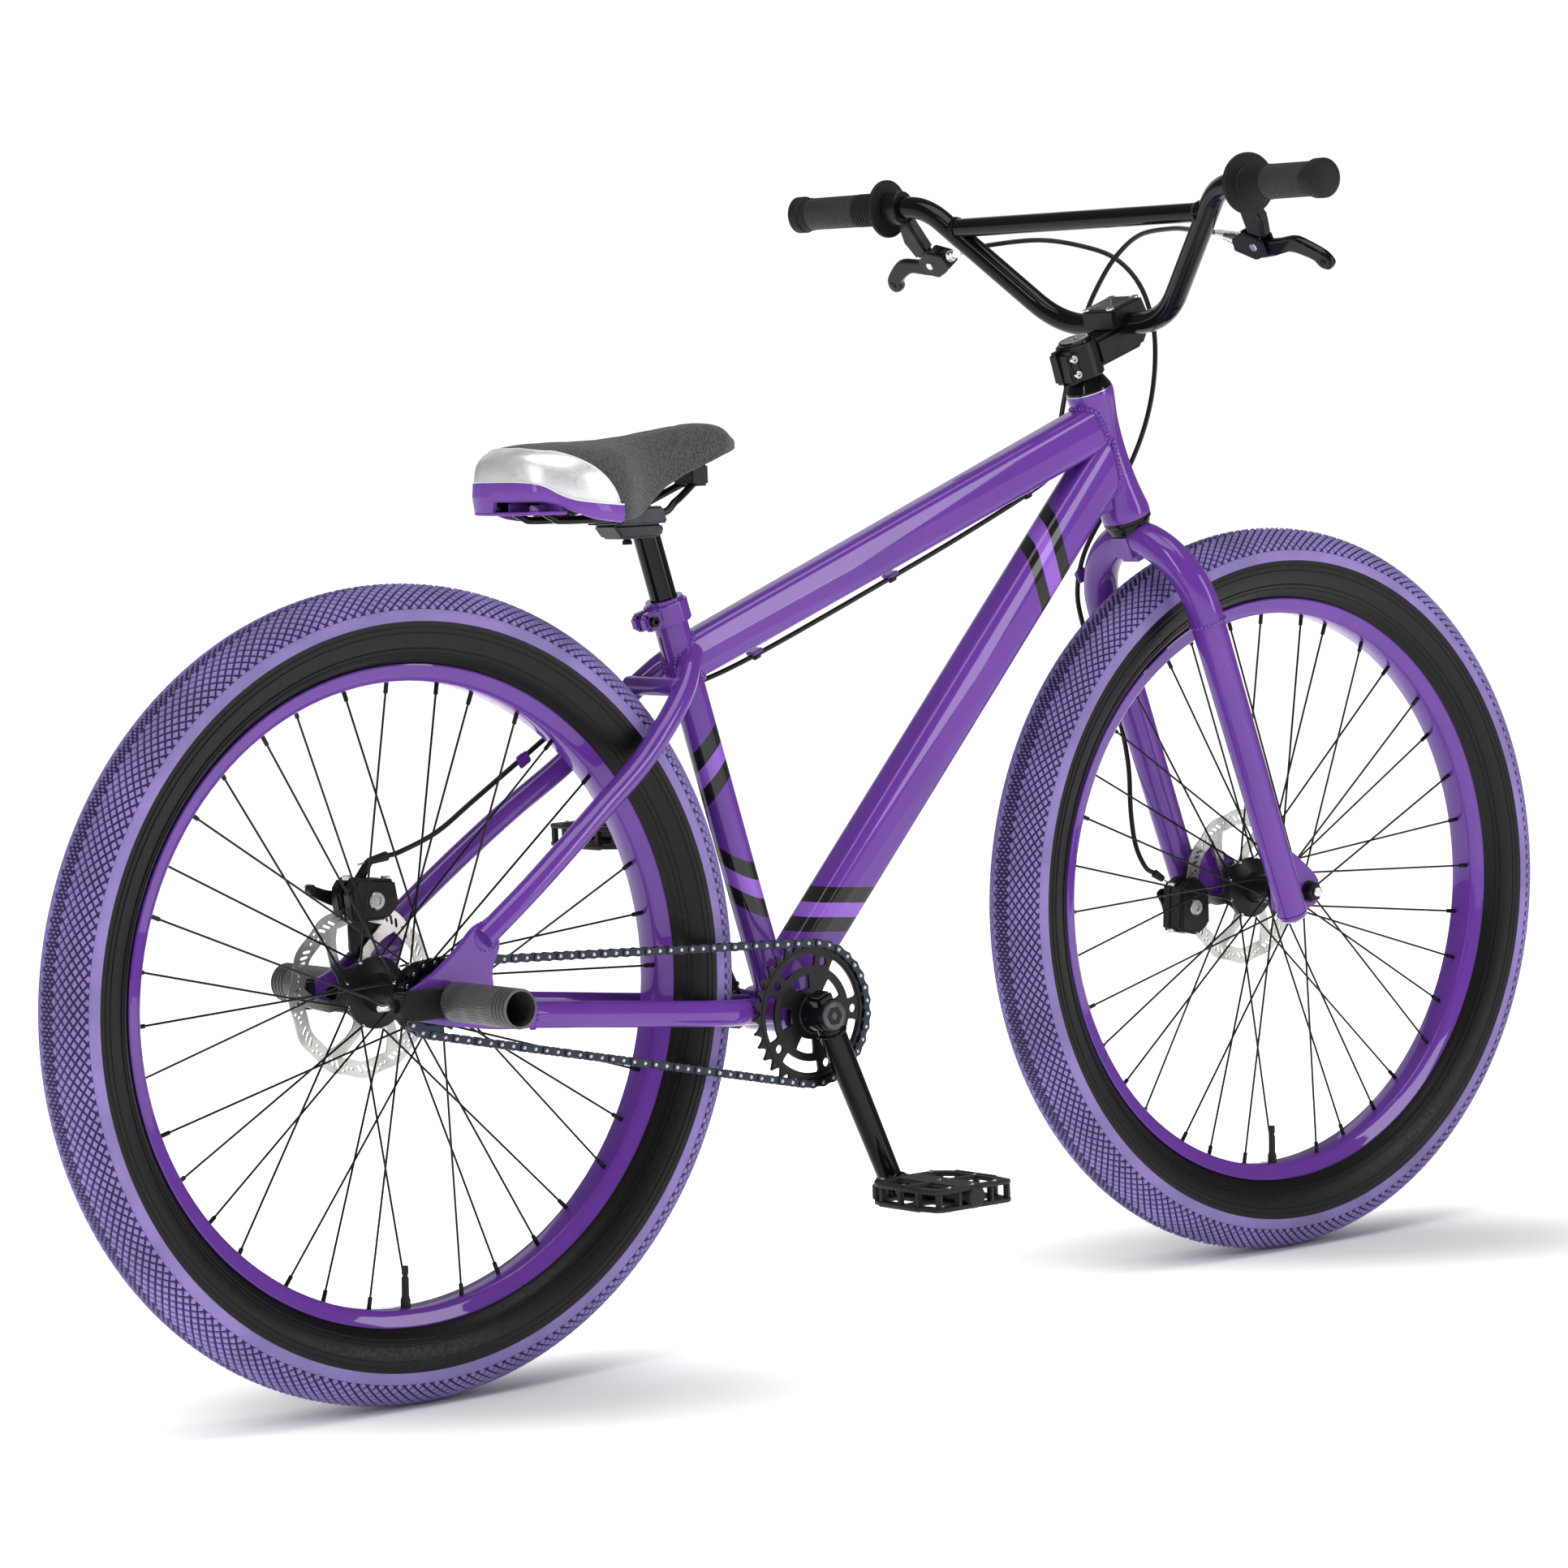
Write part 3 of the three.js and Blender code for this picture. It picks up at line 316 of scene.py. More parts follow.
def worn_metal(name, colour, roughness, metallic=1.0, grain=700.0, depth=0.00004):
    """Metal with a fine grain and a drifting roughness."""
    material, shader = new_material(name, colour, roughness, metallic)
    fine = noise(material, grain, 4.0)
    connect(material, spread(material, noise(material, 60.0, 5.0), roughness * 0.8, roughness * 1.25),
            shader.inputs["Roughness"])
    connect(material, mixed(material, spread(material, fine, 0.0, 1.0), shade(colour, 0.85),
                            shade(colour, 1.1)),
            shader.inputs["Base Color"])
    shader.inputs["Specular IOR Level"].default_value = 0.3
    bump(material, shader, fine, depth, 0.6)
    return material


def brushed_disc(name, colour, centre_x):
    """Steel ground in circles about a wheel's axle."""
    material, shader = new_material(name, colour, 0.3, 1.0)
    split = add_node(material, "ShaderNodeSeparateXYZ")
    connect(material, place_of(material), split.inputs["Vector"])
    dx = math_node(material, "SUBTRACT", split.outputs["X"], centre_x * MM)
    dz = math_node(material, "SUBTRACT", split.outputs["Z"], AXLE_Z * MM)
    square = math_node(material, "ADD", math_node(material, "MULTIPLY", dx, dx),
                       math_node(material, "MULTIPLY", dz, dz))
    radius = math_node(material, "SQRT", square)
    texture = add_node(material, "ShaderNodeTexNoise", noise_dimensions="1D")
    texture.inputs["Scale"].default_value = 2600.0
    connect(material, radius, texture.inputs["W"])
    rings = texture.outputs["Fac"]
    connect(material, mixed(material, spread(material, rings, 0.0, 1.0), shade(colour, 0.82), colour),
            shader.inputs["Base Color"])
    connect(material, spread(material, rings, 0.24, 0.4), shader.inputs["Roughness"])
    bump(material, shader, rings, 0.00004, 0.5)
    return material


def rubber(name, colour, roughness=0.72, grain=260.0, depth=0.0002):
    material, shader = new_material(name, colour, roughness)
    fine = noise(material, grain, 5.0)
    blotch = spread(material, noise(material, 18.0, 4.0), 0.0, 1.0)
    connect(material, mixed(material, blotch, shade(colour, 0.86), shade(colour, 1.12)),
            shader.inputs["Base Color"])
    connect(material, spread(material, fine, roughness - 0.07, roughness + 0.07),
            shader.inputs["Roughness"])
    shader.inputs["Specular IOR Level"].default_value = 0.22
    bump(material, shader, fine, depth, 0.35)
    return material


def waves(material, frequency_u, frequency_v, sign):
    """A slanted wave over the piece's own unrolled surface."""
    split = add_node(material, "ShaderNodeSeparateXYZ")
    coordinates = add_node(material, "ShaderNodeTexCoord").outputs["UV"]
    connect(material, coordinates, split.inputs["Vector"])
    u = math_node(material, "MULTIPLY", split.outputs["X"], frequency_u * 2 * math.pi)
    v = math_node(material, "MULTIPLY", split.outputs["Y"], sign * frequency_v * 2 * math.pi)
    return math_node(material, "SINE", math_node(material, "ADD", u, v))


def crossed(material, frequency_u, frequency_v):
    """Crossing grooves that leave small diamonds: 0 in a groove, 1 on a diamond."""
    a = math_node(material, "ABSOLUTE", waves(material, frequency_u, frequency_v, 1.0))
    b = math_node(material, "ABSOLUTE", waves(material, frequency_u, frequency_v, -1.0))
    return math_node(material, "MINIMUM", a, b)


def patterned(name, colour, roughness, metallic, frequencies, depth, groove=0.35):
    """A knurled, pitted or diamond-cut surface, with painted shade darkening its grooves."""
    material, shader = new_material(name, colour, roughness, metallic)
    height = crossed(material, *frequencies)
    edge = math_node(material, "MINIMUM", math_node(material, "MULTIPLY", height, 2.2), 1.0)
    grain = noise(material, 500.0, 4.0)
    # The grooves take a darker copy of the colour, set by groove: painted shade in the recesses.
    tone = mixed(material, edge, shade(colour, groove), colour)
    connect(material, mixed(material, spread(material, grain, 0.0, 0.25), tone, shade(colour, 1.25)),
            shader.inputs["Base Color"])
    bump(material, shader, edge, depth, 1.0)
    return material


def saddle_fabric(name, colour):
    """Fine pebbled cloth for the top of the saddle."""
    material, shader = new_material(name, colour, 0.78)
    cells = add_node(material, "ShaderNodeTexVoronoi")
    cells.inputs["Scale"].default_value = 430.0
    connect(material, place_of(material), cells.inputs["Vector"])
    distance = cells.outputs["Distance"]
    tone = mixed(material, math_node(material, "MULTIPLY", distance, 1.5), shade(colour, 2.2),
                 shade(colour, 0.3))
    connect(material, tone, shader.inputs["Base Color"])
    shader.inputs["Sheen Weight"].default_value = 0.25
    shader.inputs["Sheen Roughness"].default_value = 0.5
    bump(material, shader, distance, 0.0007, 0.9)
    return material


def silver_vinyl(name, colour):
    """Metallic vinyl with soft creases and a fine leather grain."""
    material, shader = new_material(name, colour, 0.34, 0.55)
    grain = noise(material, 380.0, 6.0)
    smudge = spread(material, noise(material, 26.0, 5.0), 0.0, 1.0)
    connect(material, mixed(material, smudge, shade(colour, 0.88), colour), shader.inputs["Base Color"])
    connect(material, spread(material, grain, 0.28, 0.42), shader.inputs["Roughness"])
    bump(material, shader, grain, 0.00015, 0.5)
    return material


M = {
    "paint": paint("frame_purple", PURPLE),
    "rim_paint": paint("rim_purple", (0.120, 0.032, 0.290), 0.34),
    "gloss_black": paint("gloss_black", (0.004, 0.004, 0.005), 0.14, 0.3),
    "satin_black": worn_metal("satin_black_alloy", (0.010, 0.010, 0.012), 0.34, 0.4),
    "dull_black": worn_metal("dull_black_metal", (0.011, 0.011, 0.012), 0.5, 0.4),
    "grey_black": worn_metal("grey_black_alloy", (0.035, 0.038, 0.045), 0.42, 0.5),
    "silver": worn_metal("bright_steel", (0.62, 0.62, 0.62), 0.2, 1.0),
    "chain": worn_metal("oiled_chain", (0.030, 0.037, 0.050), 0.3, 0.85),
    "bearing": worn_metal("bearing_steel", (0.42, 0.42, 0.43), 0.28),
    "spoke": worn_metal("black_spoke", (0.012, 0.012, 0.013), 0.32, 0.6),
    "rear_rotor": brushed_disc("rear_rotor_steel", (0.60, 0.585, 0.56), REAR_X),
    "front_rotor": brushed_disc("front_rotor_steel", (0.60, 0.585, 0.56), FRONT_X),
    "tread": rubber("violet_tread", (0.235, 0.178, 0.425), 0.6, 420.0),
    # The tread's base is a much darker violet than the studs: painted shade in the grooves between them.
    "tread_groove_painted_shade": rubber("violet_groove_painted_shade", (0.026, 0.018, 0.072), 0.7),
    "sidewall": rubber("black_sidewall", (0.0030, 0.0030, 0.0036), 0.4, 300.0, 0.00012),
    "rubber": rubber("black_grip_rubber", (0.009, 0.009, 0.010), 0.62, 380.0, 0.00012),
    # The last number of each patterned finish is how dark its grooves are painted: painted shade.
    "grip_pattern": patterned("grip_diamonds", (0.015, 0.015, 0.0165), 0.62, 0.0, (14, 16), 0.0007, 0.7),
    "knurl": patterned("knurled_peg", (0.160, 0.160, 0.168), 0.4, 0.6, (30, 18), 0.0009, 0.08),
    "cable": rubber("cable_sleeve", (0.010, 0.010, 0.011), 0.36, 500.0, 0.00003),
    "plastic": rubber("moulded_black_plastic", (0.016, 0.016, 0.018), 0.5, 420.0, 0.00008),
    "cover": saddle_fabric("saddle_cloth", (0.030, 0.032, 0.037)),
    "vinyl": silver_vinyl("silver_vinyl", (0.74, 0.745, 0.75)),
    "bumper": paint("bumper_purple", (0.170, 0.060, 0.360), 0.42, 0.3),
    "piping": rubber("white_piping", (0.72, 0.72, 0.72), 0.5),
}


# ---- shapes: each is (points in mm, faces, unrolled coordinates of each point or None) ----

def basis_for(direction):
    """Two unit vectors across a direction."""
    helper = Z_AXIS if abs(direction.z) < 0.9 else X_AXIS
    side = direction.cross(helper).normalized()
    return side, side.cross(direction).normalized()


def circle(radius, sides=24):
    return [(radius * math.cos(2 * math.pi * i / sides), radius * math.sin(2 * math.pi * i / sides))
            for i in range(sides)]


def rounded_box(height, width, corner, per_corner=5):
    """A rounded rectangle's outline, height along the first axis."""
    centres = [(height / 2 - corner, width / 2 - corner), (corner - height / 2, width / 2 - corner),
               (corner - height / 2, corner - width / 2), (height / 2 - corner, corner - width / 2)]
    outline = []
    for k, (a, b) in enumerate(centres):
        for i in range(per_corner):
            angle = math.pi / 2 * (k + i / (per_corner - 1))
            outline.append((a + corner * math.cos(angle), b + corner * math.sin(angle)))
    return outline


def sweep(path, outline, scales=None, closed=False, up=None):
    """A section carried along a path without twisting. An open sweep has flat ends."""
    count, sides = len(path), len(outline)
    tangents = []
    for i in range(count):
        before = path[i - 1] if i or closed else path[0]
        after = path[(i + 1) % count] if i < count - 1 or closed else path[-1]
        tangents.append((after - before).normalized())
    first = basis_for(tangents[0])[0] if up is None else (up - tangents[0] * up.dot(tangents[0])).normalized()
    points, unrolled = [], []
    length = 0.0
    normal = first
    for i in range(count):
        if i:
            normal = tangents[i - 1].rotation_difference(tangents[i]) @ normal
            length += (path[i] - path[i - 1]).length
        normal = (normal - tangents[i] * normal.dot(tangents[i])).normalized()
        across = tangents[i].cross(normal)
        scale = 1.0 if scales is None else scales[i]
        for k, (a, b) in enumerate(outline):
            points.append(path[i] + (normal * a + across * b) * scale)
            unrolled.append((k / sides, length / 100.0))
    rings = count if closed else count - 1
    faces = []
    for i in range(rings):
        for k in range(sides):
            a, b = i * sides + k, i * sides + (k + 1) % sides
            c, d = ((i + 1) % count) * sides + (k + 1) % sides, ((i + 1) % count) * sides + k
            faces.append((a, b, c, d))
    if not closed:
        faces.append(tuple(reversed(range(sides))))
        faces.append(tuple(range((count - 1) * sides, count * sides)))
    return points, faces, unrolled


def lathe(profile, origin, axis=Y_AXIS, sides=48):
    """A profile of (radius, distance along the axis) turned about an axis. It closes at radius 0."""
    side, other = basis_for(axis)
    points, rings, unrolled = [], [], []
    for row, (r, h) in enumerate(profile):
        if r < 1e-6:
            rings.append([len(points)] * sides)
            points.append(origin + axis * h)
            unrolled.append((0.0, h / 100.0))
            continue
        rings.append(list(range(len(points), len(points) + sides)))
        for k in range(sides):
            angle = 2 * math.pi * k / sides
            points.append(origin + axis * h + (side * math.cos(angle) + other * math.sin(angle)) * r)
            unrolled.append((k / sides, row / (len(profile) - 1)))
    faces = []
    for low, high in zip(rings, rings[1:]):
        for k in range(sides):
            corner = [low[k], low[(k + 1) % sides], high[(k + 1) % sides], high[k]]
            face = tuple(dict.fromkeys(corner))
            if len(face) > 2:
                faces.append(face)
    return points, faces, unrolled


def tube(profile, origin, axis=Y_AXIS, sides=48):
    """A lathe whose profile closes on itself, such as a ring."""
    return lathe([*profile, profile[0]], origin, axis, sides)


def from_bmesh(mesh):
    mesh.verts.ensure_lookup_table()
    points = [v.co.copy() for v in mesh.verts]
    faces = [tuple(v.index for v in f.verts) for f in mesh.faces]
    mesh.free()
    return points, faces, None


def block(corners, bevel=1.5, segments=3):
    """The solid around some corners, with rounded edges."""
    mesh = bmesh.new()
    for corner in corners:
        mesh.verts.new(corner)
    bmesh.ops.convex_hull(mesh, input=mesh.verts)
    loose = [v for v in mesh.verts if not v.link_faces]
    bmesh.ops.delete(mesh, geom=loose, context="VERTS")
    bmesh.ops.dissolve_limit(mesh, angle_limit=0.02, verts=mesh.verts, edges=mesh.edges)
    bmesh.ops.bevel(mesh, geom=mesh.edges[:], offset=bevel, segments=segments, affect="EDGES",
                    clamp_overlap=True)
    return from_bmesh(mesh)


def box_at(centre, size, axes=(X_AXIS, Y_AXIS, Z_AXIS), bevel=1.0):
    corners = []
    for a in (-0.5, 0.5):
        for b in (-0.5, 0.5):
            for c in (-0.5, 0.5):
                corners.append(centre + axes[0] * a * size[0] + axes[1] * b * size[1] + axes[2] * c * size[2])
    return block(corners, bevel, 2)


def plate(outline, holes, thickness, origin, across=X_AXIS, along=Z_AXIS, bevel=0.4):
    """A flat plate with holes, centred on its own plane, with softened edges."""
    curve = bpy.data.curves.new("plate", "CURVE")
    curve.dimensions = "2D"
    curve.fill_mode = "BOTH"
    curve.extrude = thickness / 2 - bevel
    curve.bevel_depth = bevel
    curve.bevel_resolution = 1
    for loop in (outline, *holes):
        spline = curve.splines.new("POLY")
        spline.points.add(len(loop) - 1)
        for point, (a, b) in zip(spline.points, loop):
            point.co = (a, b, 0.0, 1.0)
        spline.use_cyclic_u = True
    holder = bpy.data.objects.new("plate", curve)
    mesh = holder.to_mesh()
    facing = across.cross(along)
    points = [origin + across * v.co.x + along * v.co.y + facing * v.co.z for v in mesh.vertices]
    faces = [tuple(f.vertices) for f in mesh.polygons]
    holder.to_mesh_clear()
    bpy.data.objects.remove(holder)
    bpy.data.curves.remove(curve)
    return points, faces, None


def mirror(shape):
    """The same shape on the other side of the bicycle."""
    points, faces, unrolled = shape
    return [vec(p.x, -p.y, p.z) for p in points], [tuple(reversed(f)) for f in faces], unrolled


def opposite(shape):
    """The same shape turned half a turn about the crank axle and moved to the other side."""
    points, faces, unrolled = shape
    turned = [vec(2 * BB.x - p.x, -p.y, 2 * BB.z - p.z) for p in points]
    return turned, [tuple(reversed(f)) for f in faces], unrolled


def smooth_path(points, per_span=8):
    """A smooth curve through points."""
    ends = [points[0] * 2 - points[1], *points, points[-1] * 2 - points[-2]]
    path = []
    for a, b, c, d in zip(ends, ends[1:], ends[2:], ends[3:]):
        for i in range(per_span):
            t = i / per_span
            path.append(((b * 2) + (c - a) * t + (a * 2 - b * 5 + c * 4 - d) * t * t
                         + (b * 3 - a - c * 3 + d) * t ** 3) * 0.5)
    return [*path, points[-1]]


def rounded_path(corners, reaches, steps=12):
    """Straight runs with rounded corners, like a bent tube."""
    path = [corners[0]]
    for before, corner, after, reach in zip(corners, corners[1:], corners[2:], reaches):
        enter = corner + (before - corner).normalized() * reach
        leave = corner + (after - corner).normalized() * reach
        for i in range(steps + 1):
            t = i / steps
            path.append(enter * (1 - t) ** 2 + corner * 2 * t * (1 - t) + leave * t * t)
    return [*path, corners[-1]]


def rod(a, b, radius, end_radius=None, sides=20, soft=0.5):
    """A round bar with slightly rounded ends."""
    tip = radius if end_radius is None else end_radius
    length = (b - a).length
    profile = [(0, 0), (radius - soft, 0), (radius, soft), (tip, length - soft), (tip - soft, length),
               (0, length)]
    return lathe(profile, a, (b - a).normalized(), sides)


def bolt(origin, axis, radius, height, sides=20):
    """A socket-head bolt."""
    profile = [(0, height * 0.35), (radius * 0.5, height * 0.35), (radius * 0.5, height),
               (radius * 0.88, height),
               (radius, height * 0.85), (radius, 0), (0, 0)]
    return lathe(profile, origin, axis.normalized(), sides)


# ---- pieces ----

def piece(name, body, shapes, replaces=(), bend=None):
    """One object made of (shape, material name) pairs, riding on a body, or left unattached in place when a
    bend is given.
    """
    mesh = bpy.data.meshes.new(name)
    points, faces, slots, unrolled = [], [], [], []
    names = list(dict.fromkeys(material for _, material in shapes))
    for (shape_points, shape_faces, shape_unrolled), material in shapes:
        base = len(points)
        points.extend(p * MM for p in shape_points)
        unrolled.extend(shape_unrolled or [(0.0, 0.0)] * len(shape_points))
        faces.extend(tuple(base + i for i in face) for face in shape_faces)
        slots.extend([names.index(material)] * len(shape_faces))
    mesh.from_pydata(points, [], faces)
    for material in names:
        mesh.materials.append(M[material])
    mesh.polygons.foreach_set("material_index", slots)
    face_outward(mesh)
    write_unrolled(mesh, unrolled)
    mesh.shade_smooth()
    mesh.set_sharp_from_angle(angle=math.radians(38.0))
    thing = bpy.data.objects.new(name, mesh)
    bpy.context.scene.collection.objects.link(thing)
    if bend:
        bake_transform(thing)
    else:
        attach(thing, body)
    if replaces:
        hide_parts(*replaces)
    return thing


def face_outward(mesh):
    whole = bmesh.new()
    whole.from_mesh(mesh)
    bmesh.ops.recalc_face_normals(whole, faces=whole.faces)
    whole.to_mesh(mesh)
    whole.free()


def write_unrolled(mesh, unrolled):
    """Stores the unrolled coordinates, closing the seam where a ring starts again."""
    layer = mesh.uv_layers.new(name="unrolled")
    for polygon in mesh.polygons:
        across = [unrolled[mesh.loops[i].vertex_index][0] for i in polygon.loop_indices]
        wraps = max(across) - min(across) > 0.5
        for i, u in zip(polygon.loop_indices, across):
            shifted = u + 1.0 if wraps and u < 0.5 else u
            layer.data[i].uv = (shifted, unrolled[mesh.loops[i].vertex_index][1])


def loft(rings):
    """A solid through rings of points, with flat ends."""
    sides = len(rings[0])
    points = [p for ring in rings for p in ring]
    unrolled = [(k / sides, i / 10.0) for i in range(len(rings)) for k in range(sides)]
    faces = []
    for i in range(len(rings) - 1):
        for k in range(sides):
            a, b = i * sides + k, i * sides + (k + 1) % sides
            faces.append((a, b, b + sides, a + sides))
    faces.append(tuple(reversed(range(sides))))
    faces.append(tuple(range(len(points) - sides, len(points))))
    return points, faces, unrolled


def slab(outline, y0, y1):
    """A quick flat plate in the XZ plane between two values of y."""
    count = len(outline)
    points = [vec(x, y0, z) for x, z in outline] + [vec(x, y1, z) for x, z in outline]
    faces = [tuple(range(count)), tuple(reversed(range(count, 2 * count)))]
    faces.extend((k, k + count, (k + 1) % count + count, (k + 1) % count) for k in range(count))
    return points, faces, None


# ---- frame ----

HEAD_OUTER = [(24.5, 0), (24.5, 8), (20.5, 34), (18.5, 68), (19.5, 100), (23.5, 128), (23.5, 135.5)]
TOP_TUBE = (vec(-213, 0, 649.2), vec(330, 0, 854.9))
DOWN_TUBE = (vec(-107.1, 0, 331.5), vec(335.3, 0, 820.4))
SEAT_TUBE_LENGTH = 410.6
STRIPE_START = vec(-99, 0, 335)
CHAINSTAY_PATH = [
    vec(-112, -22, 313), vec(-150, -28, 316.5), vec(-176, -37, 319), vec(-192, -45, 320.6),
    vec(-215, -52, 323),
    vec(-260, -57.5, 327.5), vec(-340, -64, 336), vec(-430, -71, 345.5), vec(-482, -73.5, 351)]
SEATSTAY_PATH = [
    vec(-205, -9, 659), vec(-212, -15, 653), vec(-222, -25, 643), vec(-240, -38, 624), vec(-268, -48, 597),
    vec(-310, -56, 560), vec(-363, -65, 524), vec(-411, -71.5, 490), vec(-456, -75, 457.5),
    vec(-506, -75.5, 422)]
DROPOUT = [
    (-590, 359), (-590, 381), (-566, 391), (-536, 412), (-510, 437), (-492, 430), (-488, 414),
    (-499, 394), (-497, 372), (-478, 365), (-452, 360), (-448, 336), (-500, 340), (-560, 351)]
AXLE_SLOT = [(-578, 362.6), (-536, 362.6), (-534, 370), (-536, 377.4), (-578, 377.4)]


def softened(outline, rounds=2):
    """An outline with its corners cut smooth."""
    loop = list(outline)
    for _ in range(rounds):
        cut = []
        for (ax, az), (bx, bz) in zip(loop, [*loop[1:], loop[0]]):
            cut.append((ax * 0.8 + bx * 0.2, az * 0.8 + bz * 0.2))
            cut.append((ax * 0.2 + bx * 0.8, az * 0.2 + bz * 0.8))
        loop = cut
    return loop


def curved_profile(points, per_span=5):
    """A smooth version of a (radius, height) profile."""
    path = smooth_path([vec(r, h, 0) for r, h in points], per_span)
    return [(p.x, p.y) for p in path]


def box_tube(a, b, size_a, size_b, corner):
    run = (b - a).normalized()
    up = vec(-run.z, 0, run.x)
    rings = []
    for centre, size in ((a, size_a), (b, size_b)):
        rings.append([centre + up * p + Y_AXIS * q for p, q in rounded_box(*size, corner)])
    return loft(rings)


def tube_outline(tube_end, size, corner, run):
    up = vec(-run.z, 0, run.x)
    return [tube_end + up * p + Y_AXIS * q for p, q in rounded_box(*size, corner)]


def bead(outline, direction, target, ripple=4.2, radius=2.7):
    """A rippled weld bead where a tube's outline meets a target shape."""
    tree = BVHTree.FromPolygons(target[0], target[1])
    hits = [tree.ray_cast(p, direction)[0] for p in outline]
    hits = [hit for hit in hits if hit is not None]
    loop = []
    for a, b in zip(hits, [*hits[1:], hits[0]]):
        steps = max(1, round((b - a).length / 1.1))
        loop.extend(a.lerp(b, i / steps) for i in range(steps))
    scales = [1.0 + 0.22 * math.cos(2 * math.pi * i * 1.1 / ripple) for i in range(len(loop))]
    return sweep(loop, circle(radius, 10), scales, closed=True)


def build_main_tubes():
    head_shape = tube([*curved_profile(HEAD_OUTER), (17, 135.5), (17, 0)], HEAD_BOTTOM, STEER_UP, 48)
    seat_outer = lathe([(0, 0), (16.2, 0), (16.2, 400), (0, 400)], seat(0), SEAT_UP, 40)
    shell_outer = lathe([(0, -36), (21.5, -36), (21.5, 36), (0, 36)], BB, Y_AXIS, 40)
    top_run = (TOP_TUBE[1] - TOP_TUBE[0]).normalized()
    down_run = (DOWN_TUBE[1] - DOWN_TUBE[0]).normalized()
    top_shape = box_tube(*TOP_TUBE, (43, 30), (47, 34), 9)
    down_shape = box_tube(*DOWN_TUBE, (51, 36), (51, 36), 10)
    piece("head_tube", "frame", [(head_shape, "paint")], ["head_tube"])
    beads = [
        bead(tube_outline(TOP_TUBE[1] - top_run * 70, (46.6, 33.8), 9, top_run), top_run, head_shape),
        bead(tube_outline(TOP_TUBE[0] + top_run * 70, (43.4, 30.4), 9, top_run), -top_run, seat_outer),
    ]
    piece("top_tube", "frame", [(top_shape, "paint"), *[(b, "paint") for b in beads]], ["top_tube"])
    gusset = plate(softened([(288, 769), (352, 799), (346, 772), (316, 764)], 1), [], 18, vec(0, 0, 0),
                   X_AXIS, Z_AXIS, 2)
    down_beads = [
        bead(tube_outline(DOWN_TUBE[1] - down_run * 70, (51, 36), 10, down_run), down_run, head_shape),
        bead(tube_outline(DOWN_TUBE[0] + down_run * 70, (51, 36), 10, down_run), -down_run, shell_outer),
    ]
    shapes = [(down_shape, "down_paint"), (gusset, "paint"), *[(b, "paint") for b in down_beads]]
    piece("down_tube", "frame", shapes, ["down_tube"])
    seat_shape = tube([(16.2, 18), (16.2, SEAT_TUBE_LENGTH), (13.2, SEAT_TUBE_LENGTH), (13.2, 18)],
                      seat(0), SEAT_UP, 40)
    foot = bead([seat(60) + Y_AXIS * 16 * math.cos(t) + SEAT_BACK * 16 * math.sin(t)
                 for t in [i * math.pi / 16 for i in range(32)]], -SEAT_UP, shell_outer)
    keyhole = box_at(seat(370) + SEAT_BACK * 15.4, (3, 3.2, 26), (SEAT_BACK, Y_AXIS, SEAT_UP), 1.0)
    piece("seat_tube", "frame", [(seat_shape, "seat_paint"), (foot, "paint"), (keyhole, "gloss_black")],
          ["seat_tube"])
    shell = tube([(20.5, -36), (21.5, -35), (21.5, 35), (20.5, 36), (17.5, 36), (17.5, -36)], BB,
                 Y_AXIS, 48)
    piece("bb_shell", "frame", [(shell, "paint")], ["bb_shell"])


def build_rear_triangle():
    stay = sweep(smooth_path(CHAINSTAY_PATH, 6), [(12.3 * a, 8.0 * b) for a, b in circle(1.0, 28)],
                 up=Z_AXIS)
    sheet = plate(softened(DROPOUT), [softened(AXLE_SLOT, 1)], 7.0, vec(0, -73.5, 0), X_AXIS, Z_AXIS, 0.8)
    toe = bead([vec(-440, -71.5 + 7.2 * b, 346 + 11.5 * a) for a, b in circle(1.0, 24)],
               vec(-1, 0, 0.1).normalized(),
               block([vec(x, y, z) for x in (-500, -452) for y in (-80, -60) for z in (330, 372)], 1),
               4.2, 2.2)
    for suffix, turn in (("r", lambda s: s), ("l", mirror)):
        shapes = [(turn(stay), "paint"), (turn(sheet), "paint"), (turn(toe), "paint")]
        piece(f"chainstay_{suffix}", "frame", shapes, [f"chainstay_{suffix}"])
    right = sweep(smooth_path(SEATSTAY_PATH, 6), circle(10.8, 24))
    seat_outer = lathe([(0, 0), (16.2, 0), (16.2, 400), (0, 400)], seat(0), SEAT_UP, 40)
    root_dir = (SEATSTAY_PATH[0] - SEATSTAY_PATH[2]).normalized()
    side, other = basis_for(root_dir)
    root = bead([SEATSTAY_PATH[3] + (side * a + other * b) * 10.6 - root_dir * 2
                 for a, b in circle(1.0, 24)],
                root_dir, seat_outer, 4.2, 2.2)
    bridge = rod(vec(-244, -38, 629), vec(-244, 38, 629), 9)
    ankle = sweep([vec(-503 + 13 * a, -75.5, 423 + 13 * b) for a, b in circle(1.0, 40)], circle(2.0, 8),
                  [1.0 + 0.2 * math.cos(i * 2.6) for i in range(40)], closed=True)
    shapes = [(s, "paint") for s in (right, mirror(right), root, mirror(root), bridge, ankle,
                                     mirror(ankle))]
    piece("seatstays", "frame", shapes, ["seatstays"])


def cleat(place, along, away):
    """A small welded guide that holds a cable, with a black clip."""
    across = along.cross(away).normalized()
    saddle = box_at(place - away * 3.2, (14, 12, 4), (along, across, away), 1.2)
    clip = tube([(3.1, -3), (4.6, -3), (4.6, 3), (3.1, 3)], place, along, 20)
    return [(saddle, "paint"), (clip, "dull_black")]


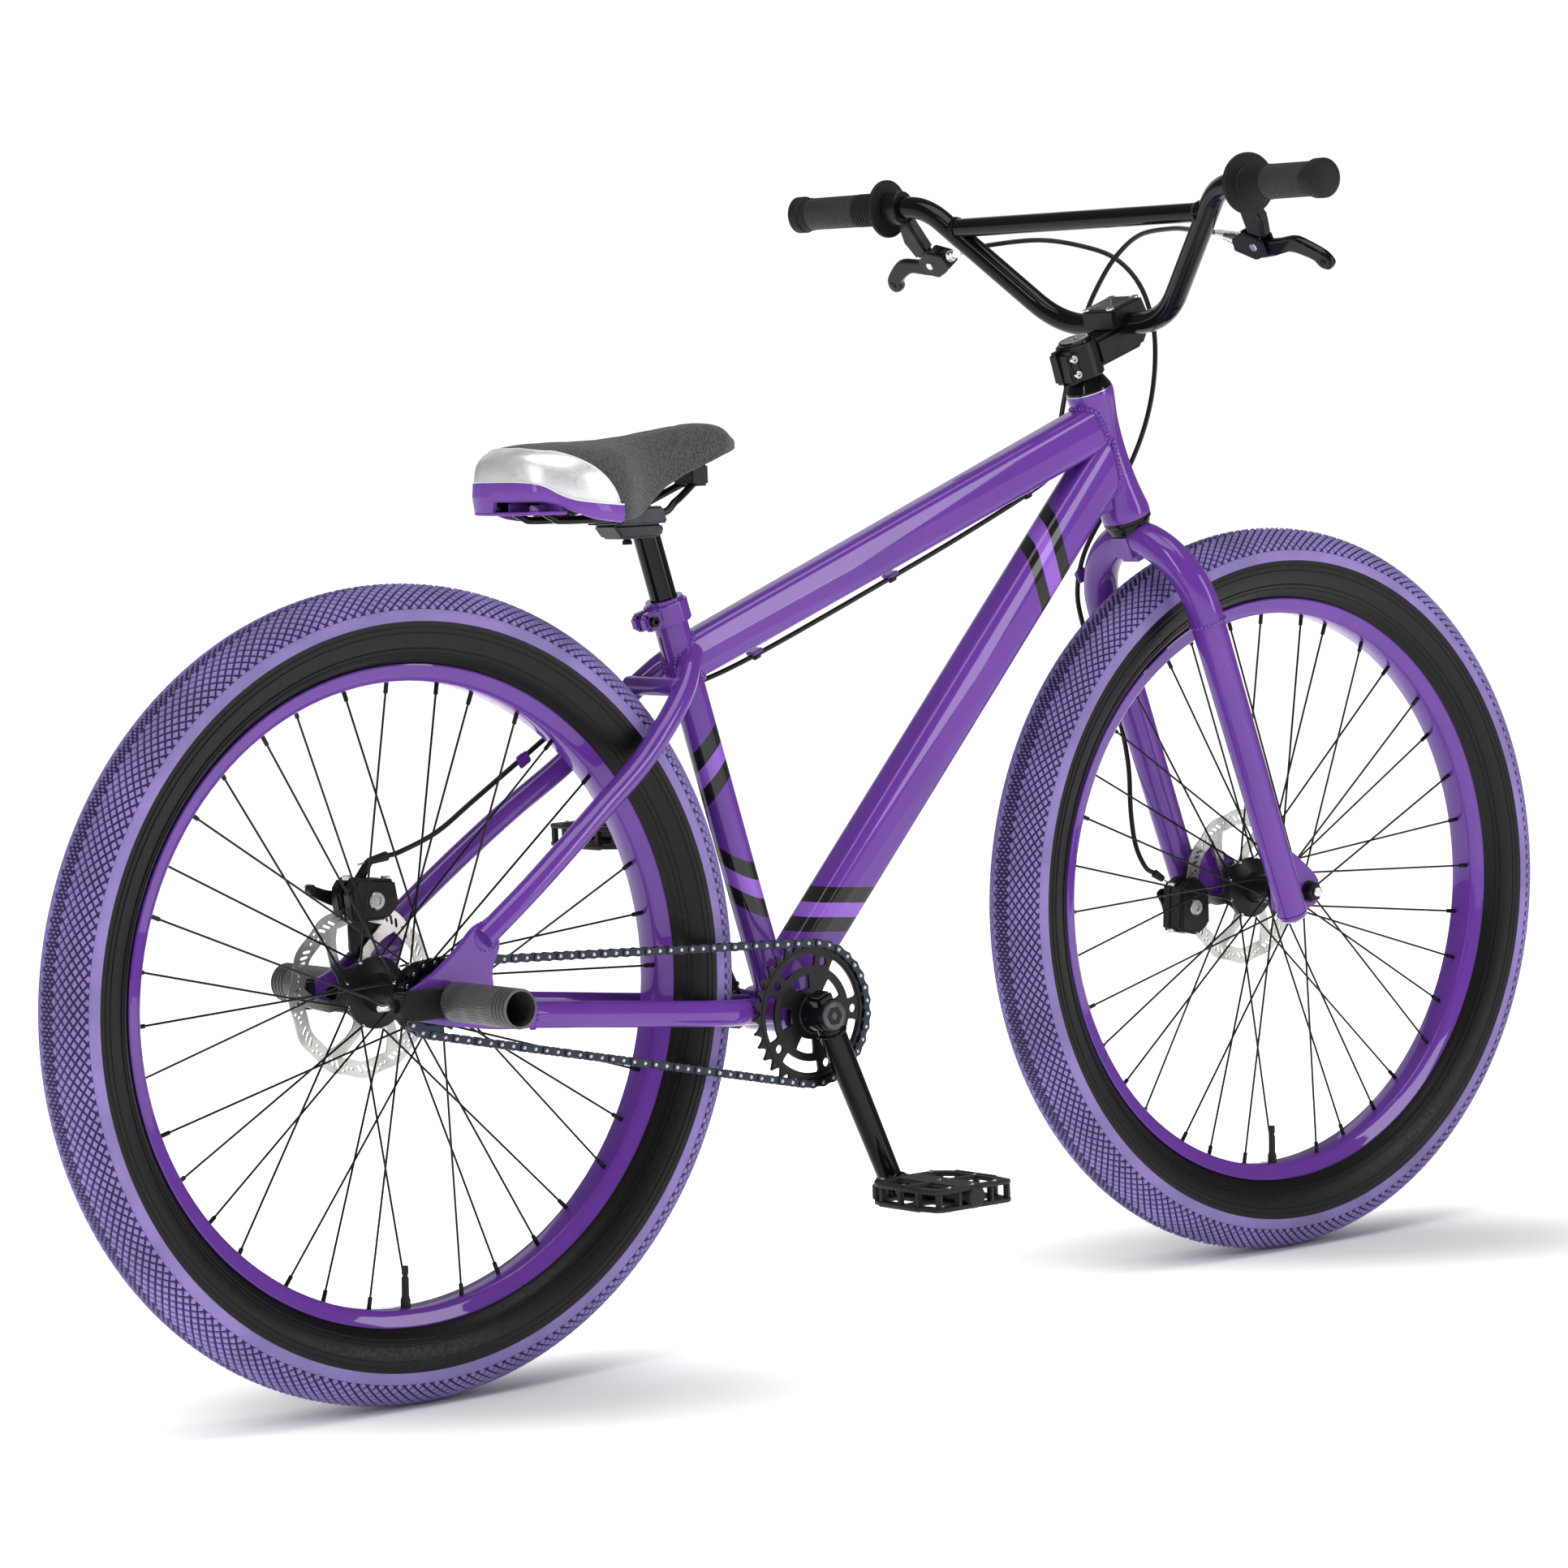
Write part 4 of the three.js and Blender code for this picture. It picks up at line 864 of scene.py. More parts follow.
def build_cable_guides():
    run = (TOP_TUBE[1] - TOP_TUBE[0]).normalized()
    up = vec(-run.z, 0, run.x)
    shapes = []
    for place in (vec(233, 5, 787.7), vec(50, 0, 715), vec(-118, 4, 650.7)):
        shapes += cleat(place, run, -up)
    shapes += cleat(vec(-345, 74.5, 566), vec(-0.83, 0.08, -0.55).normalized(),
                    vec(0.1, 0.95, 0.2).normalized())
    piece("frame_cable_guides", "frame", shapes)
    leg = [*cleat(vec(378, 91, 700), -STEER_UP, Y_AXIS), *cleat(vec(428.6, 93, 552), -STEER_UP, Y_AXIS)]
    piece("fork_cable_guides", "fork", leg)


def build_seat_clamp():
    ring = tube([(16.9, 0), (20.2, 0), (21, 1), (21, 19), (20, 20), (18, 20), (18, 23.5), (13.2, 23.5),
                 (13.2, 19),
                 (16.9, 19)], seat(392), SEAT_UP, 48)
    shapes = [(ring, "paint")]
    for sign in (-1, 1):
        low = box_at(seat(402) + SEAT_BACK * 24 + Y_AXIS * 7 * sign, (18, 10, 18),
                     (SEAT_BACK, Y_AXIS, SEAT_UP), 2)
        tip = box_at(seat(402) + SEAT_BACK * 31 + Y_AXIS * 7 * sign, (10, 10, 13),
                     (SEAT_BACK, Y_AXIS, SEAT_UP), 2)
        shapes += [(low, "paint"), (tip, "paint")]
    centre = seat(402) + SEAT_BACK * 27
    shapes.append((rod(centre - Y_AXIS * 12, centre + Y_AXIS * 14, 4.2), "gloss_black"))
    shapes.append((bolt(centre - Y_AXIS * 12, -Y_AXIS, 5.4, 4.0, 6), "gloss_black"))
    piece("seat_clamp", "frame", shapes, ["seat_clamp"])


RAIL_HALF = [vec(-396, 24, 806), vec(-372, 23, 792), vec(-352, 22, 788), vec(-252, 22, 789),
             vec(-226, 20, 800),
             vec(-196, 9, 815)]


def build_seatpost_and_rails():
    post = lathe([(0, 285), (12.7, 285), (12.7, 488), (0, 488)], seat(0), SEAT_UP, 40)
    yoke = block([vec(x, y, z) for y in (-17, 17)
                  for x, z in ((-286, 767.5), (-245, 767.5), (-236, 773), (-297, 781), (-240, 781))], 2.5)
    shapes = [(post, "gloss_black"), (yoke, "grey_black")]
    for y in (-22, 22):
        clamp = block([vec(x, y + dy, z) for dy in (-6, 6)
                       for x, z in ((-296, 781), (-241, 781), (-292, 797), (-246, 797))], 2)
        shapes.append((clamp, "grey_black"))
    bar = block([vec(x, y, z) for y in (-20, 20)
                 for x, z in ((-284, 792), (-254, 792), (-286, 797.5), (-252, 797.5))], 1.5)
    head = lathe([(0, 0), (4.6, 0), (4.6, 3), (3.2, 5), (3.2, 7), (0, 7)], vec(-269, 0, 762), Z_AXIS, 6)
    shapes += [(bar, "grey_black"), (head, "satin_black")]
    piece("seatpost", "frame", shapes, ["seatpost"])
    half = smooth_path(RAIL_HALF, 8)
    wire = [*half, *smooth_path([RAIL_HALF[-1], vec(-190, 0, 816.5), vec(-196, -9, 815)], 6)[1:-1],
            *[vec(p.x, -p.y, p.z) for p in reversed(half)]]
    piece("saddle_rails", "frame", [(sweep(wire, circle(3.5, 16)), "gloss_black")], ["saddle_rails"])


# ---- saddle ----

# Each station: x, half width, top, the height below which the side stands upright, lower edge, and
# the ceiling of the hollow underside.
SADDLE_STATIONS = [
    (-418.0, 25.0, 846.0, 824.0, 813.0, 816.0), (-408.0, 46.0, 853.0, 822.0, 811.0, 815.0),
    (-392.0, 61.5, 857.5, 819.0, 807.0, 813.0), (-370.0, 69.0, 859.5, 815.0, 799.0, 812.0),
    (-345.0, 71.2, 860.0, 810.0, 791.0, 811.0), (-326.0, 70.0, 860.0, 806.0, 787.5, 811.0),
    (-312.0, 65.5, 860.0, 806.0, 786.5, 811.0), (-298.0, 57.0, 860.5, 808.0, 788.0, 812.0),
    (-282.0, 47.0, 861.5, 814.0, 793.0, 815.0), (-262.0, 38.0, 863.5, 822.0, 804.0, 819.0),
    (-240.0, 31.5, 866.5, 831.0, 816.0, 825.0), (-210.0, 26.0, 870.3, 840.0, 827.0, 833.0),
    (-182.0, 21.5, 871.8, 846.0, 835.0, 841.0), (-160.0, 16.5, 868.0, 849.5, 842.0, 846.0),
    (-147.0, 9.5, 859.0, 850.0, 845.0, 848.0)]


def saddle_section(x, half, top, mid, low, roof):
    """One closed section of the padded cover: a rounded top, upright sides and a hollow underside."""
    ring = []
    for i in range(33):
        angle = math.pi * i / 32
        y = half * math.copysign(abs(math.cos(angle)) ** 0.66, math.cos(angle))
        ring.append(vec(x, y, mid + (top - mid) * math.sin(angle) ** 0.8))
    wall = min(5.0, half * 0.25)
    for share in (0.5, 1.0):
        ring.append(vec(x, -half * (1.0 - 0.02 * share), mid + (low - mid) * share))
    ring.append(vec(x, -half + wall, low))
    for share in (1.0, 0.6, 0.2, -0.2, -0.6, -1.0):
        ring.append(vec(x, -(half - wall - 1.0) * share, roof))
    ring.append(vec(x, half - wall, low))
    for share in (1.0, 0.5):
        ring.append(vec(x, half * (1.0 - 0.02 * share), mid + (low - mid) * share))
    return ring


def interpolated(stations, per_span=4):
    """Smooth in-between stations."""
    out = []
    ends = [stations[0], *stations, stations[-1]]
    for a, b, c, d in zip(ends, ends[1:], ends[2:], ends[3:]):
        for i in range(per_span):
            t = i / per_span
            out.append(tuple(0.5 * (2 * q + (r - p) * t + (2 * p - 5 * q + 4 * r - s) * t * t
                                    + (3 * q - p - 3 * r + s) * t ** 3) for p, q, r, s in zip(a, b, c, d)))
    return [*out, stations[-1]]


def saddle_pad():
    """The padded cover: sections closed with rounded nose and tail."""
    stations = interpolated(SADDLE_STATIONS)
    rings = [saddle_section(*station) for station in stations]
    tail, nose = rings[0], rings[-1]
    tail_centre = vec(-419.4, 0, 827.0)
    nose_centre = vec(-139.8, 0, 850.0)
    start = [p.lerp(tail_centre, 0.45) - X_AXIS * 1.2 for p in tail]
    finish = [p.lerp(nose_centre, 0.45) + X_AXIS * 4.0 for p in nose]
    points, faces, unrolled = loft([start, *rings, finish])
    return points, faces, unrolled


SEAM_START = vec(-420, 0, 787)
SEAM_LENGTH = 93.0
SEAM_HEIGHT = 70.0


def behind_seam(p):
    """Whether a point of the cover is in the silver panel, which ends in a quarter ellipse."""
    along = (p.x - SEAM_START.x) / SEAM_LENGTH
    up = (p.z - SEAM_START.z) / SEAM_HEIGHT
    return along * along + up * up < 1.0


def build_saddle():
    points, faces, _ = saddle_pad()
    mesh = bpy.data.meshes.new("saddle_cover")
    mesh.from_pydata([p * MM for p in points], [], faces)
    mesh.materials.append(M["cover"])
    mesh.materials.append(M["vinyl"])
    thing = bpy.data.objects.new("saddle_cover", mesh)
    bpy.context.scene.collection.objects.link(thing)
    swell(thing)
    mesh = thing.data
    for polygon in mesh.polygons:
        polygon.material_index = 1 if behind_seam(polygon.center / MM) else 0
    face_outward(mesh)
    mesh.shade_smooth()
    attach(thing, "frame")
    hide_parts("saddle_cover")
    build_saddle_trim(thing)


def swell(thing):
    """Subdivides the cover and lets soft dimples and creases form on its padding."""
    fine = thing.modifiers.new("fine", "SUBSURF")
    fine.levels = 2
    fine.render_levels = 2
    graph = bpy.context.evaluated_depsgraph_get()
    mesh = bpy.data.meshes.new_from_object(thing.evaluated_get(graph))
    thing.modifiers.clear()
    thing.data = mesh
    for vertex in mesh.vertices:
        p = vertex.co / MM
        crease = (0.35 * math.sin(p.x * 0.19 + p.y * 0.05) * math.cos(p.y * 0.23)
                  + 0.3 * math.sin(p.y * 0.11 + p.z * 0.17))
        groove = 1.6 * math.exp(-(p.y / 7.0) ** 2) if -400.0 < p.x < -200.0 and p.z > 850.0 else 0.0
        vertex.co = (p + Vector((0.0, 0.0, -0.25))
                     + Vector((0.0, 0.0, 1.0)) * (min(crease, 0.2) * 0.5 - groove)) * MM


# The bumper's plan line on one side, front to rear: x, y, upper edge and lower edge.
BUMPER_HALF = [
    (-325.5, 71.0, 801.0, 785.0), (-345.0, 72.4, 803.0, 787.5), (-361.0, 71.6, 805.0, 790.5),
    (-379.0, 67.6, 808.0, 797.0),
    (-392.0, 62.6, 813.5, 803.0), (-401.0, 55.5, 820.0, 806.0), (-408.5, 47.0, 823.5, 807.0),
    (-415.0, 35.0, 825.0, 807.0),
    (-419.0, 19.0, 825.5, 807.0), (-420.0, 0.0, 825.5, 807.0)]


def build_saddle_trim(cover):
    """Piping along the seams, the glossy bumper under them and its open rear pocket."""
    tree = BVHTree.FromPolygons([v.co / MM for v in cover.data.vertices],
                                [tuple(f.vertices) for f in cover.data.polygons])
    seam = []
    for i in range(2, 19):
        angle = math.pi / 2 * i / 19 * 0.8
        start = vec(SEAM_START.x + SEAM_LENGTH * math.cos(angle), -200,
                    SEAM_START.z + SEAM_HEIGHT * math.sin(angle))
        seam.append(tree.ray_cast(start, Y_AXIS)[0])
    for i in range(1, 20):
        share = -1.0 + i / 10.0
        seam.append(tree.ray_cast(vec(-394.0 - 7.0 * (1.0 - share * share), 42.0 * share, 1000.0),
                                  -Z_AXIS)[0])
    seam = [p for p in seam if p is not None]
    mirrored = [vec(p.x, -p.y, p.z) for p in reversed(seam) if p.y < -41.0]
    pipe = sweep(smooth_path([*seam, *mirrored], 3), circle(0.9, 10))
    stations = interpolated(BUMPER_HALF, 4)
    outline = [(x, -y, high, low) for x, y, high, low in stations]
    outline += [(x, y, high, min(low, 797.0) if x < -401 else low)
                for x, y, high, low in reversed(stations[:-1])]
    edge = sweep([vec(x, y * 1.004, high + 0.4) for x, y, high, _ in outline], circle(0.8, 8))
    piece("saddle_piping", "frame", [(pipe, "piping"), (edge, "piping")])
    shapes = [(bumper_band(outline), "bumper")]
    tray = [(-384, -60), (-398, -56), (-408, -45), (-415, -30), (-418, -12), (-418, 12), (-415, 30),
            (-408, 45), (-398, 56),
            (-384, 60)]
    shapes.append((plate(tray, [], 3.2, vec(0, 0, 796.6), X_AXIS, Y_AXIS, 1.0), "bumper"))
    pocket = [((-388, -385), (-58, 58), (796, 812)), ((-412, -386), (-13, -10.5), (797, 806)),
              ((-409, -386), (-41, -38.5), (797, 804))]
    for xs, ys, zs in pocket:
        shapes.append((block([vec(x, y, z) for x in xs for y in ys for z in zs], 1.0, 2), "bumper"))
    shell = block([vec(-404, y, z) for y in (-52, 52) for z in (806, 811)]
                  + [vec(-318, y, z) for y in (-62, 62) for z in (808, 811)]
                  + [vec(-262, y, z) for y in (-28, 28) for z in (814, 818)], 1.5)
    lug = block([vec(x, y, z) for x in (-202, -180) for y in (-14, 14) for z in (813, 834)], 2.5)
    shapes += [(shell, "plastic"), (lug, "plastic")]
    piece("saddle_base", "frame", shapes, ["saddle_base"])


def bumper_band(outline):
    """The glossy band round the saddle's rear, bulging slightly between its edges."""
    rings = []
    for x, y, high, low in outline:
        outward = vec(x + 350.0, y * 0.9, 0).normalized()
        base = vec(x, y, 0)
        inner = base - outward * 4.0
        middle = (high + low) / 2
        rings.append([vec(base.x, base.y, high), vec(base.x, base.y, middle + 3) + outward * 0.9,
                      vec(base.x, base.y, middle - 3) + outward * 0.7,
                      vec(base.x, base.y, low + 1.0) - outward * 0.6,
                      vec(inner.x, inner.y, low), vec(inner.x, inner.y, high)])
    return loft(rings)


# ---- headset, fork and cockpit ----

SHOULDER = [steer(0, -4, -22), steer(0, -22, -26), steer(0, -43, -39), steer(0, -60, -58),
            steer(0, -70, -81),
            steer(0, -72.8, -99), steer(0, -73, -116)]
BAR_CENTRE = steer(56, 0, 184.7)
BAR_LOW = vec(BAR_CENTRE.x, -75.3, BAR_CENTRE.z)
BAR_HIGH = vec(294, -215, 1079.2)
GRIP_DIR = vec(-0.1528, -0.9882, -0.006).normalized()


def on_grip(t):
    return BAR_HIGH + GRIP_DIR * t


def other_side(p):
    return vec(p.x, -p.y, p.z)


def build_headset():
    cone = tube([(14.6, 135.9), (22.8, 135.9), (23.0, 137), (22.4, 139), (17.2, 149.2), (16.6, 149.9),
                 (14.6, 149.9)],
                HEAD_BOTTOM, STEER_UP, 48)
    band = tube([(22.9, 134.9), (23.4, 134.9), (23.4, 136.2), (22.9, 136.2)], HEAD_BOTTOM, STEER_UP, 48)
    piece("headset_upper", "frame", [(cone, "gloss_black"), (band, "silver")], ["headset_upper"])
    lower = tube([(14.6, -0.3), (14.6, -4.6), (23.6, -4.6), (24.4, -3.6), (24.4, -0.3)], HEAD_BOTTOM,
                 STEER_UP, 48)
    piece("headset_lower", "frame", [(lower, "gloss_black")], ["headset_lower"])


def build_fork():
    shoulder = sweep(smooth_path(SHOULDER, 8), circle(17.4, 32))
    neck = block([steer(x, y, s) for y in (-17, 17)
                  for x, s in ((-19, -10), (19, -10), (-17, -44), (17, -44))], 6, 4)
    race = lathe([(0, -14), (20, -14), (22.5, -6), (22.5, -5), (0, -5)], HEAD_BOTTOM, STEER_UP, 48)
    steerer = lathe([(0, -10), (14.1, -10), (14.1, 185), (0, 185)], HEAD_BOTTOM, STEER_UP, 32)
    shapes = [(shoulder, "paint"), (mirror(shoulder), "paint"), (neck, "paint"), (race, "gloss_black"),
              (steerer, "silver")]
    piece("fork_crown", "fork", shapes, ["fork_crown"])
    leg = rod(steer(0, -73, -112), steer(0, -73, -433), 17.4, 15.0, 32, 2.0)
    toe = lathe([(15.0, 0), (14.0, 4), (9.5, 7.5), (0, 9)], steer(0, -73, -432), -STEER_UP, 32)
    lug = block([vec(FRONT_X + x, y, AXLE_Z + z) for y in (-62, -51)
                 for x, z in ((-54, 42), (-34, 42), (-32, -16), (-50, -16))], 2)
    hook = [(-48, 40), (-30, 48), (12, 15), (15, 0), (11, -12), (-2, -17), (-38, -17)]
    tab = plate(softened(hook), [circle(5.4, 24)], 6.4, vec(FRONT_X, -53.8, AXLE_Z), X_AXIS, Z_AXIS, 0.8)
    seam = sweep([steer(0, -73, -113) + (STEER_FWD * a + Y_AXIS * b) * 17.5
                  for a, b in circle(1.0, 90)], circle(1.6, 8),
                 [1.0 + 0.25 * math.cos(i * 2.1) for i in range(90)], closed=True)
    for suffix, turn in (("r", lambda s: s), ("l", mirror)):
        shapes = [(turn(s), "paint") for s in (leg, toe, lug, tab, seam)]
        piece(f"fork_leg_{suffix}", "fork", shapes, [f"fork_leg_{suffix}"])


def build_stem():
    clamp = lathe([(0, 150.3), (19.5, 150.3), (20.5, 151.5), (20.5, 185), (19.5, 185.9), (0, 185.9)],
                  HEAD_BOTTOM, STEER_UP, 48)
    rear = block([steer(x, y, s) for y in (-15, 15)
                  for x, s in ((-29, 151), (-14, 151), (-27, 184), (-14, 184))], 3)
    arm = block([steer(x, y, s) for y in (-18, 18)
                 for x, s in ((10, 155.5), (10, 184.3), (72, 155.5), (84, 167), (84, 184.3))], 4, 4)
    slit = box_at(steer(-22, 0, 168), (16, 1.6, 36), (STEER_FWD, Y_AXIS, STEER_UP), 0.3)
    shapes = [(clamp, "satin_black"), (rear, "satin_black"), (arm, "satin_black"), (slit, "gloss_black")]
    for s in (160, 176):
        shapes.append((bolt(steer(-22, -15, s), -Y_AXIS, 4.0, 3.4), "silver"))
    shapes.append((lathe([(0, 185.8), (17, 185.8), (17, 188.4), (15.6, 190), (0, 190)], HEAD_BOTTOM,
                         STEER_UP, 48), "gloss_black"))
    shapes.append((tube([(12.6, 189.9), (13.8, 189.9), (13.8, 190.3), (12.6, 190.3)], HEAD_BOTTOM,
                        STEER_UP, 40), "silver"))
    shapes.append((bolt(steer(0, 0, 189.6), STEER_UP, 4.4, 1.0), "silver"))
    piece("stem", "fork", shapes, ["stem"])
    body = block([steer(x, y, s) for y in (-24, 24)
                  for x, s in ((35, 185.2), (84, 185.2), (38, 205.6), (81, 205.6))], 3, 4)
    cap = [(body, "satin_black")]
    for x in (42, 76):
        for y in (-17, 17):
            cap.append((bolt(steer(x, y, 204.6), STEER_UP, 4.6, 1.6), "silver"))
    groove = box_at(steer(60, 0, 205.2), (34, 2.2, 1.4), ((STEER_FWD + Y_AXIS).normalized(),
                    (Y_AXIS - STEER_FWD).normalized(), STEER_UP), 0.3)
    cap.append((groove, "gloss_black"))
    piece("bar_clamp", "fork", cap, ["bar_clamp"])


def build_handlebar():
    end = on_grip(168.5)
    corners = [other_side(end), other_side(BAR_HIGH), other_side(BAR_LOW), BAR_LOW, BAR_HIGH, end]
    bar = sweep(rounded_path(corners, [24, 40, 40, 24], 12), circle(11.1, 32))
    cross = BAR_LOW.lerp(BAR_HIGH, 0.812)
    left = other_side(cross)
    path = [cross.lerp(left, i / 24) for i in range(25)]
    outline = circle(9.5, 24)
    crossbar = sweep(path, outline, [1.0] * 25)
    shapes = [(bar, "gloss_black"), (crossbar, "gloss_black")]
    for end_point, direction in ((cross, Y_AXIS), (left, -Y_AXIS)):
        loop = [end_point + direction * (8.5 + abs(a) * 3.0) + Z_AXIS * 10.0 * b + X_AXIS * 9.8 * a
                for a, b in circle(1.0, 64)]
        scales = [1.0 + 0.2 * math.cos(i * 2.2) for i in range(64)]
        shapes.append((sweep(loop, circle(1.7, 8), scales, closed=True), "gloss_black"))
    piece("handlebar", "fork", shapes, ["handlebar"])
    build_grips()


def build_grips():
    ribs = []
    for i in range(8):
        t = 8.0 + i * 4.0
        ribs += [(16.0, t), (17.0, t + 0.6), (17.0, t + 2.4), (16.0, t + 3.0)]
    front = [(11.5, 0), (28.6, 0), (29.5, 1.0), (29.5, 3.4), (28.6, 4.5), (17.4, 6.0), *ribs]
    middle = [(16.2, 40.0), (16.7, 41.0), (16.5, 103.0), (16.1, 104.0)]
    back = [(16.1, 104.0), (17.0, 105.5), (17.0, 112.0), (18.8, 114.0), (18.8, 123.0), (14.0, 126.5),
            (0.0, 127.0)]
    origin = on_grip(47.6)
    parts = [(lathe(front + [middle[0]], origin, GRIP_DIR, 48), "rubber"),
             (lathe(middle, origin, GRIP_DIR, 48), "grip_pattern"),
             (lathe(back, origin, GRIP_DIR, 48), "rubber")]
    for suffix, turn in (("r", lambda s: s), ("l", mirror)):
        piece(f"grip_{suffix}", "fork", [(turn(shape), name) for shape, name in parts], [f"grip_{suffix}"])


LEVER_DOWN = vec(0.541, 0, -0.841)
LEVER_AXIS = vec(0.841, 0, 0.541)
LEVER_ORIGIN = vec(288.4, 0, 1079)
BLADE = [(-228, 65), (-226, 76), (-234, 80), (-256, 78), (-262, 76.5), (-279, 73.5), (-304, 85), (-308, 95),
         (-317, 97), (-322, 92.5), (-318, 82), (-293, 65), (-283, 63.5), (-263, 66)]


def lever_point(y, depth, side):
    return LEVER_ORIGIN + LEVER_DOWN * depth + LEVER_AXIS * side + Y_AXIS * y


def build_levers():
    ring = tube([(11.4, 0), (16, 0), (17, 1), (17, 16), (16, 17), (11.4, 17)], on_grip(28), GRIP_DIR, 40)
    neck = block([lever_point(y, d, side) for side in (-7, 7)
                  for y, d in ((-240, 12), (-256, 12), (-234, 52), (-262, 38), (-254, 60))], 3)
    cheeks = [block([lever_point(y, d, side + 2.3 * sign) for side in (4.8 * sign, 8.6 * sign)
                     for y, d in ((-212, 56), (-209, 69), (-232, 81), (-250, 76), (-252, 60),
                                  (-232, 50))], 1.2)
              for sign in (-0.78, 0.78)]
    web = block([lever_point(y, d, side) for side in (-6, 6)
                 for y, d in ((-212, 55), (-209, 69), (-221, 74), (-221, 54))], 2)
    barrel = lathe([(0, 0), (5, 0), (6, 1), (6, 7), (5, 8), (5, 12), (4, 13), (4, 18), (0, 18)],
                   lever_point(-214, 62, 0),
                   (lever_point(-197, 57, 0) - lever_point(-214, 62, 0)).normalized(), 24)
    pivot = rod(lever_point(-237, 66, -9.4), lever_point(-237, 66, 9.4), 4.2)
    perch = [(ring, "satin_black"), (neck, "satin_black"), (web, "satin_black"), (barrel, "silver"),
             (pivot, "silver")]
    perch += [(cheek, "satin_black") for cheek in cheeks]
    perch.append((bolt(on_grip(36) + vec(0.841, 0, 0.541) * 15.5, LEVER_AXIS, 3.6, 3.0), "silver"))
    blade = plate(softened([(-y, -d) for y, d in BLADE]), [], 8.4, LEVER_ORIGIN, -Y_AXIS, -LEVER_DOWN, 2.4)
    bulb = lathe([(0, -6.0), (3.4, -5.2), (5.4, -2.6), (6.0, 0), (5.4, 2.6), (3.4, 5.2), (0, 6.0)],
                 lever_point(-314.5, 90.0, 0), LEVER_AXIS, 24)
    for suffix, turn in (("r", lambda s: s), ("l", mirror)):
        shapes = [(turn(shape), name) for shape, name in perch]
        piece(f"lever_perch_{suffix}", "fork", shapes, [f"lever_perch_{suffix}"])
        shapes = [(turn(blade), "gloss_black"), (turn(bulb), "gloss_black")]
        piece(f"brake_lever_{suffix}", f"brake_lever_{suffix}", shapes, [f"brake_lever_{suffix}"])


# ---- cables ----

FRONT_CABLE = [
    vec(330, 195.5, 1032), vec(345, 174, 1037.6), vec(380, 138.7, 1040.7), vec(402, 99.7, 1033),
    vec(416, 64.8, 1019),
    vec(424, 38.6, 992), vec(425, 22, 955), vec(421, 15, 918), vec(414, 15, 877), vec(404, 21, 838),
    vec(394, 36, 800),
    vec(384, 60, 760), vec(378, 84, 720), vec(378, 95, 680), vec(388, 96, 640), vec(402, 95.5, 600),
    vec(427, 94, 556),
    vec(438, 92, 504), vec(436, 88, 454), vec(434, 80, 420), vec(438, 71, 398), vec(447, 68, 391)]
REAR_CABLE = [
    vec(328, -195.5, 1033), vec(365, -104, 1041), vec(382, -54, 1044), vec(396, 6, 1040),
    vec(400, 46, 1020),
    vec(394, 66, 993), vec(378, 70, 962), vec(352, 64, 915), vec(325, 50, 870), vec(302, 34, 832),
    vec(276, 16, 806),
    vec(233, 5, 787.5), vec(140, 2, 749.5), vec(50, 0, 715), vec(-51, 0, 676.5), vec(-118, 4, 650.5),
    vec(-165, 12, 633),
    vec(-196, 24, 624), vec(-222, 46, 620), vec(-262, 62, 613), vec(-310, 70, 589), vec(-345, 75, 566),
    vec(-400, 80, 530),
    vec(-440, 82, 505), vec(-484, 78, 491), vec(-505, 71, 489)]


# The rear cable's bend: the frame below the first point and the fork above the second. Only its presence is
# used, to leave the cable unattached.
STEERING_BEND = ("frame", "fork", vec(352, 64, 815) * MM, vec(352, 64, 950) * MM)


def build_cables():
    for name, path, stop, bend in (
            ("front_brake_cable", FRONT_CABLE, vec(456, 64, 384), None),
            ("rear_brake_cable", REAR_CABLE, vec(-528, 67, 486), STEERING_BEND)):
        sleeve = sweep(smooth_path(path, 6), circle(2.5, 14))
        ferrule = rod(path[0].lerp(path[1], -0.25), path[0].lerp(path[1], 0.35), 3.2)
        boot = rod(path[-1], stop, 4.6, 3.4)
        inner = rod(stop, stop + (stop - path[-1]).normalized() * 14, 0.9)
        shapes = [(sleeve, "cable"), (ferrule, "silver"), (boot, "plastic"), (inner, "silver")]
        piece(name, "fork", shapes, [name], bend)


# ---- wheels ----

TREAD_EDGE_R = 337.0


def tyre_skin(phi):
    """Radius and half width of the tyre's surface at an angle from the crown."""
    return 333.0 + 35.6 * max(0.0, math.cos(phi)) ** 0.84, 34.4 * math.sin(phi) ** 0.86


def tread_rows():
    """(angle from the crown, studs around, length, width, rise, stagger) of each row of studs."""
    rows = [(0.0, 330, 2.6, 2.6, 1.5, 0.0), (0.075, 330, 2.6, 2.6, 1.5, 0.5),
            (0.15, 330, 2.6, 2.6, 1.5, 0.0)]
    for i in range(8):
        rows.append((0.25 + i * 0.115, 216, 9.4, 6.6, 1.5, 0.5 * (i % 2)))
    rows.append((1.17, 216, 8.0, 7.5, 1.2, 0.0))
    return rows


def stud(frame_at, length, width):
    """One low diamond, pointed along the tyre, on its skin."""
    corners = ((-length / 2, 0.0), (0.0, -width / 2), (length / 2, 0.0), (0.0, width / 2))
    low = [frame_at(a, b, -0.6) for a, b in corners]
    high = [frame_at(a * 0.72, b * 0.72, 1.0) for a, b in corners]
    return low + high


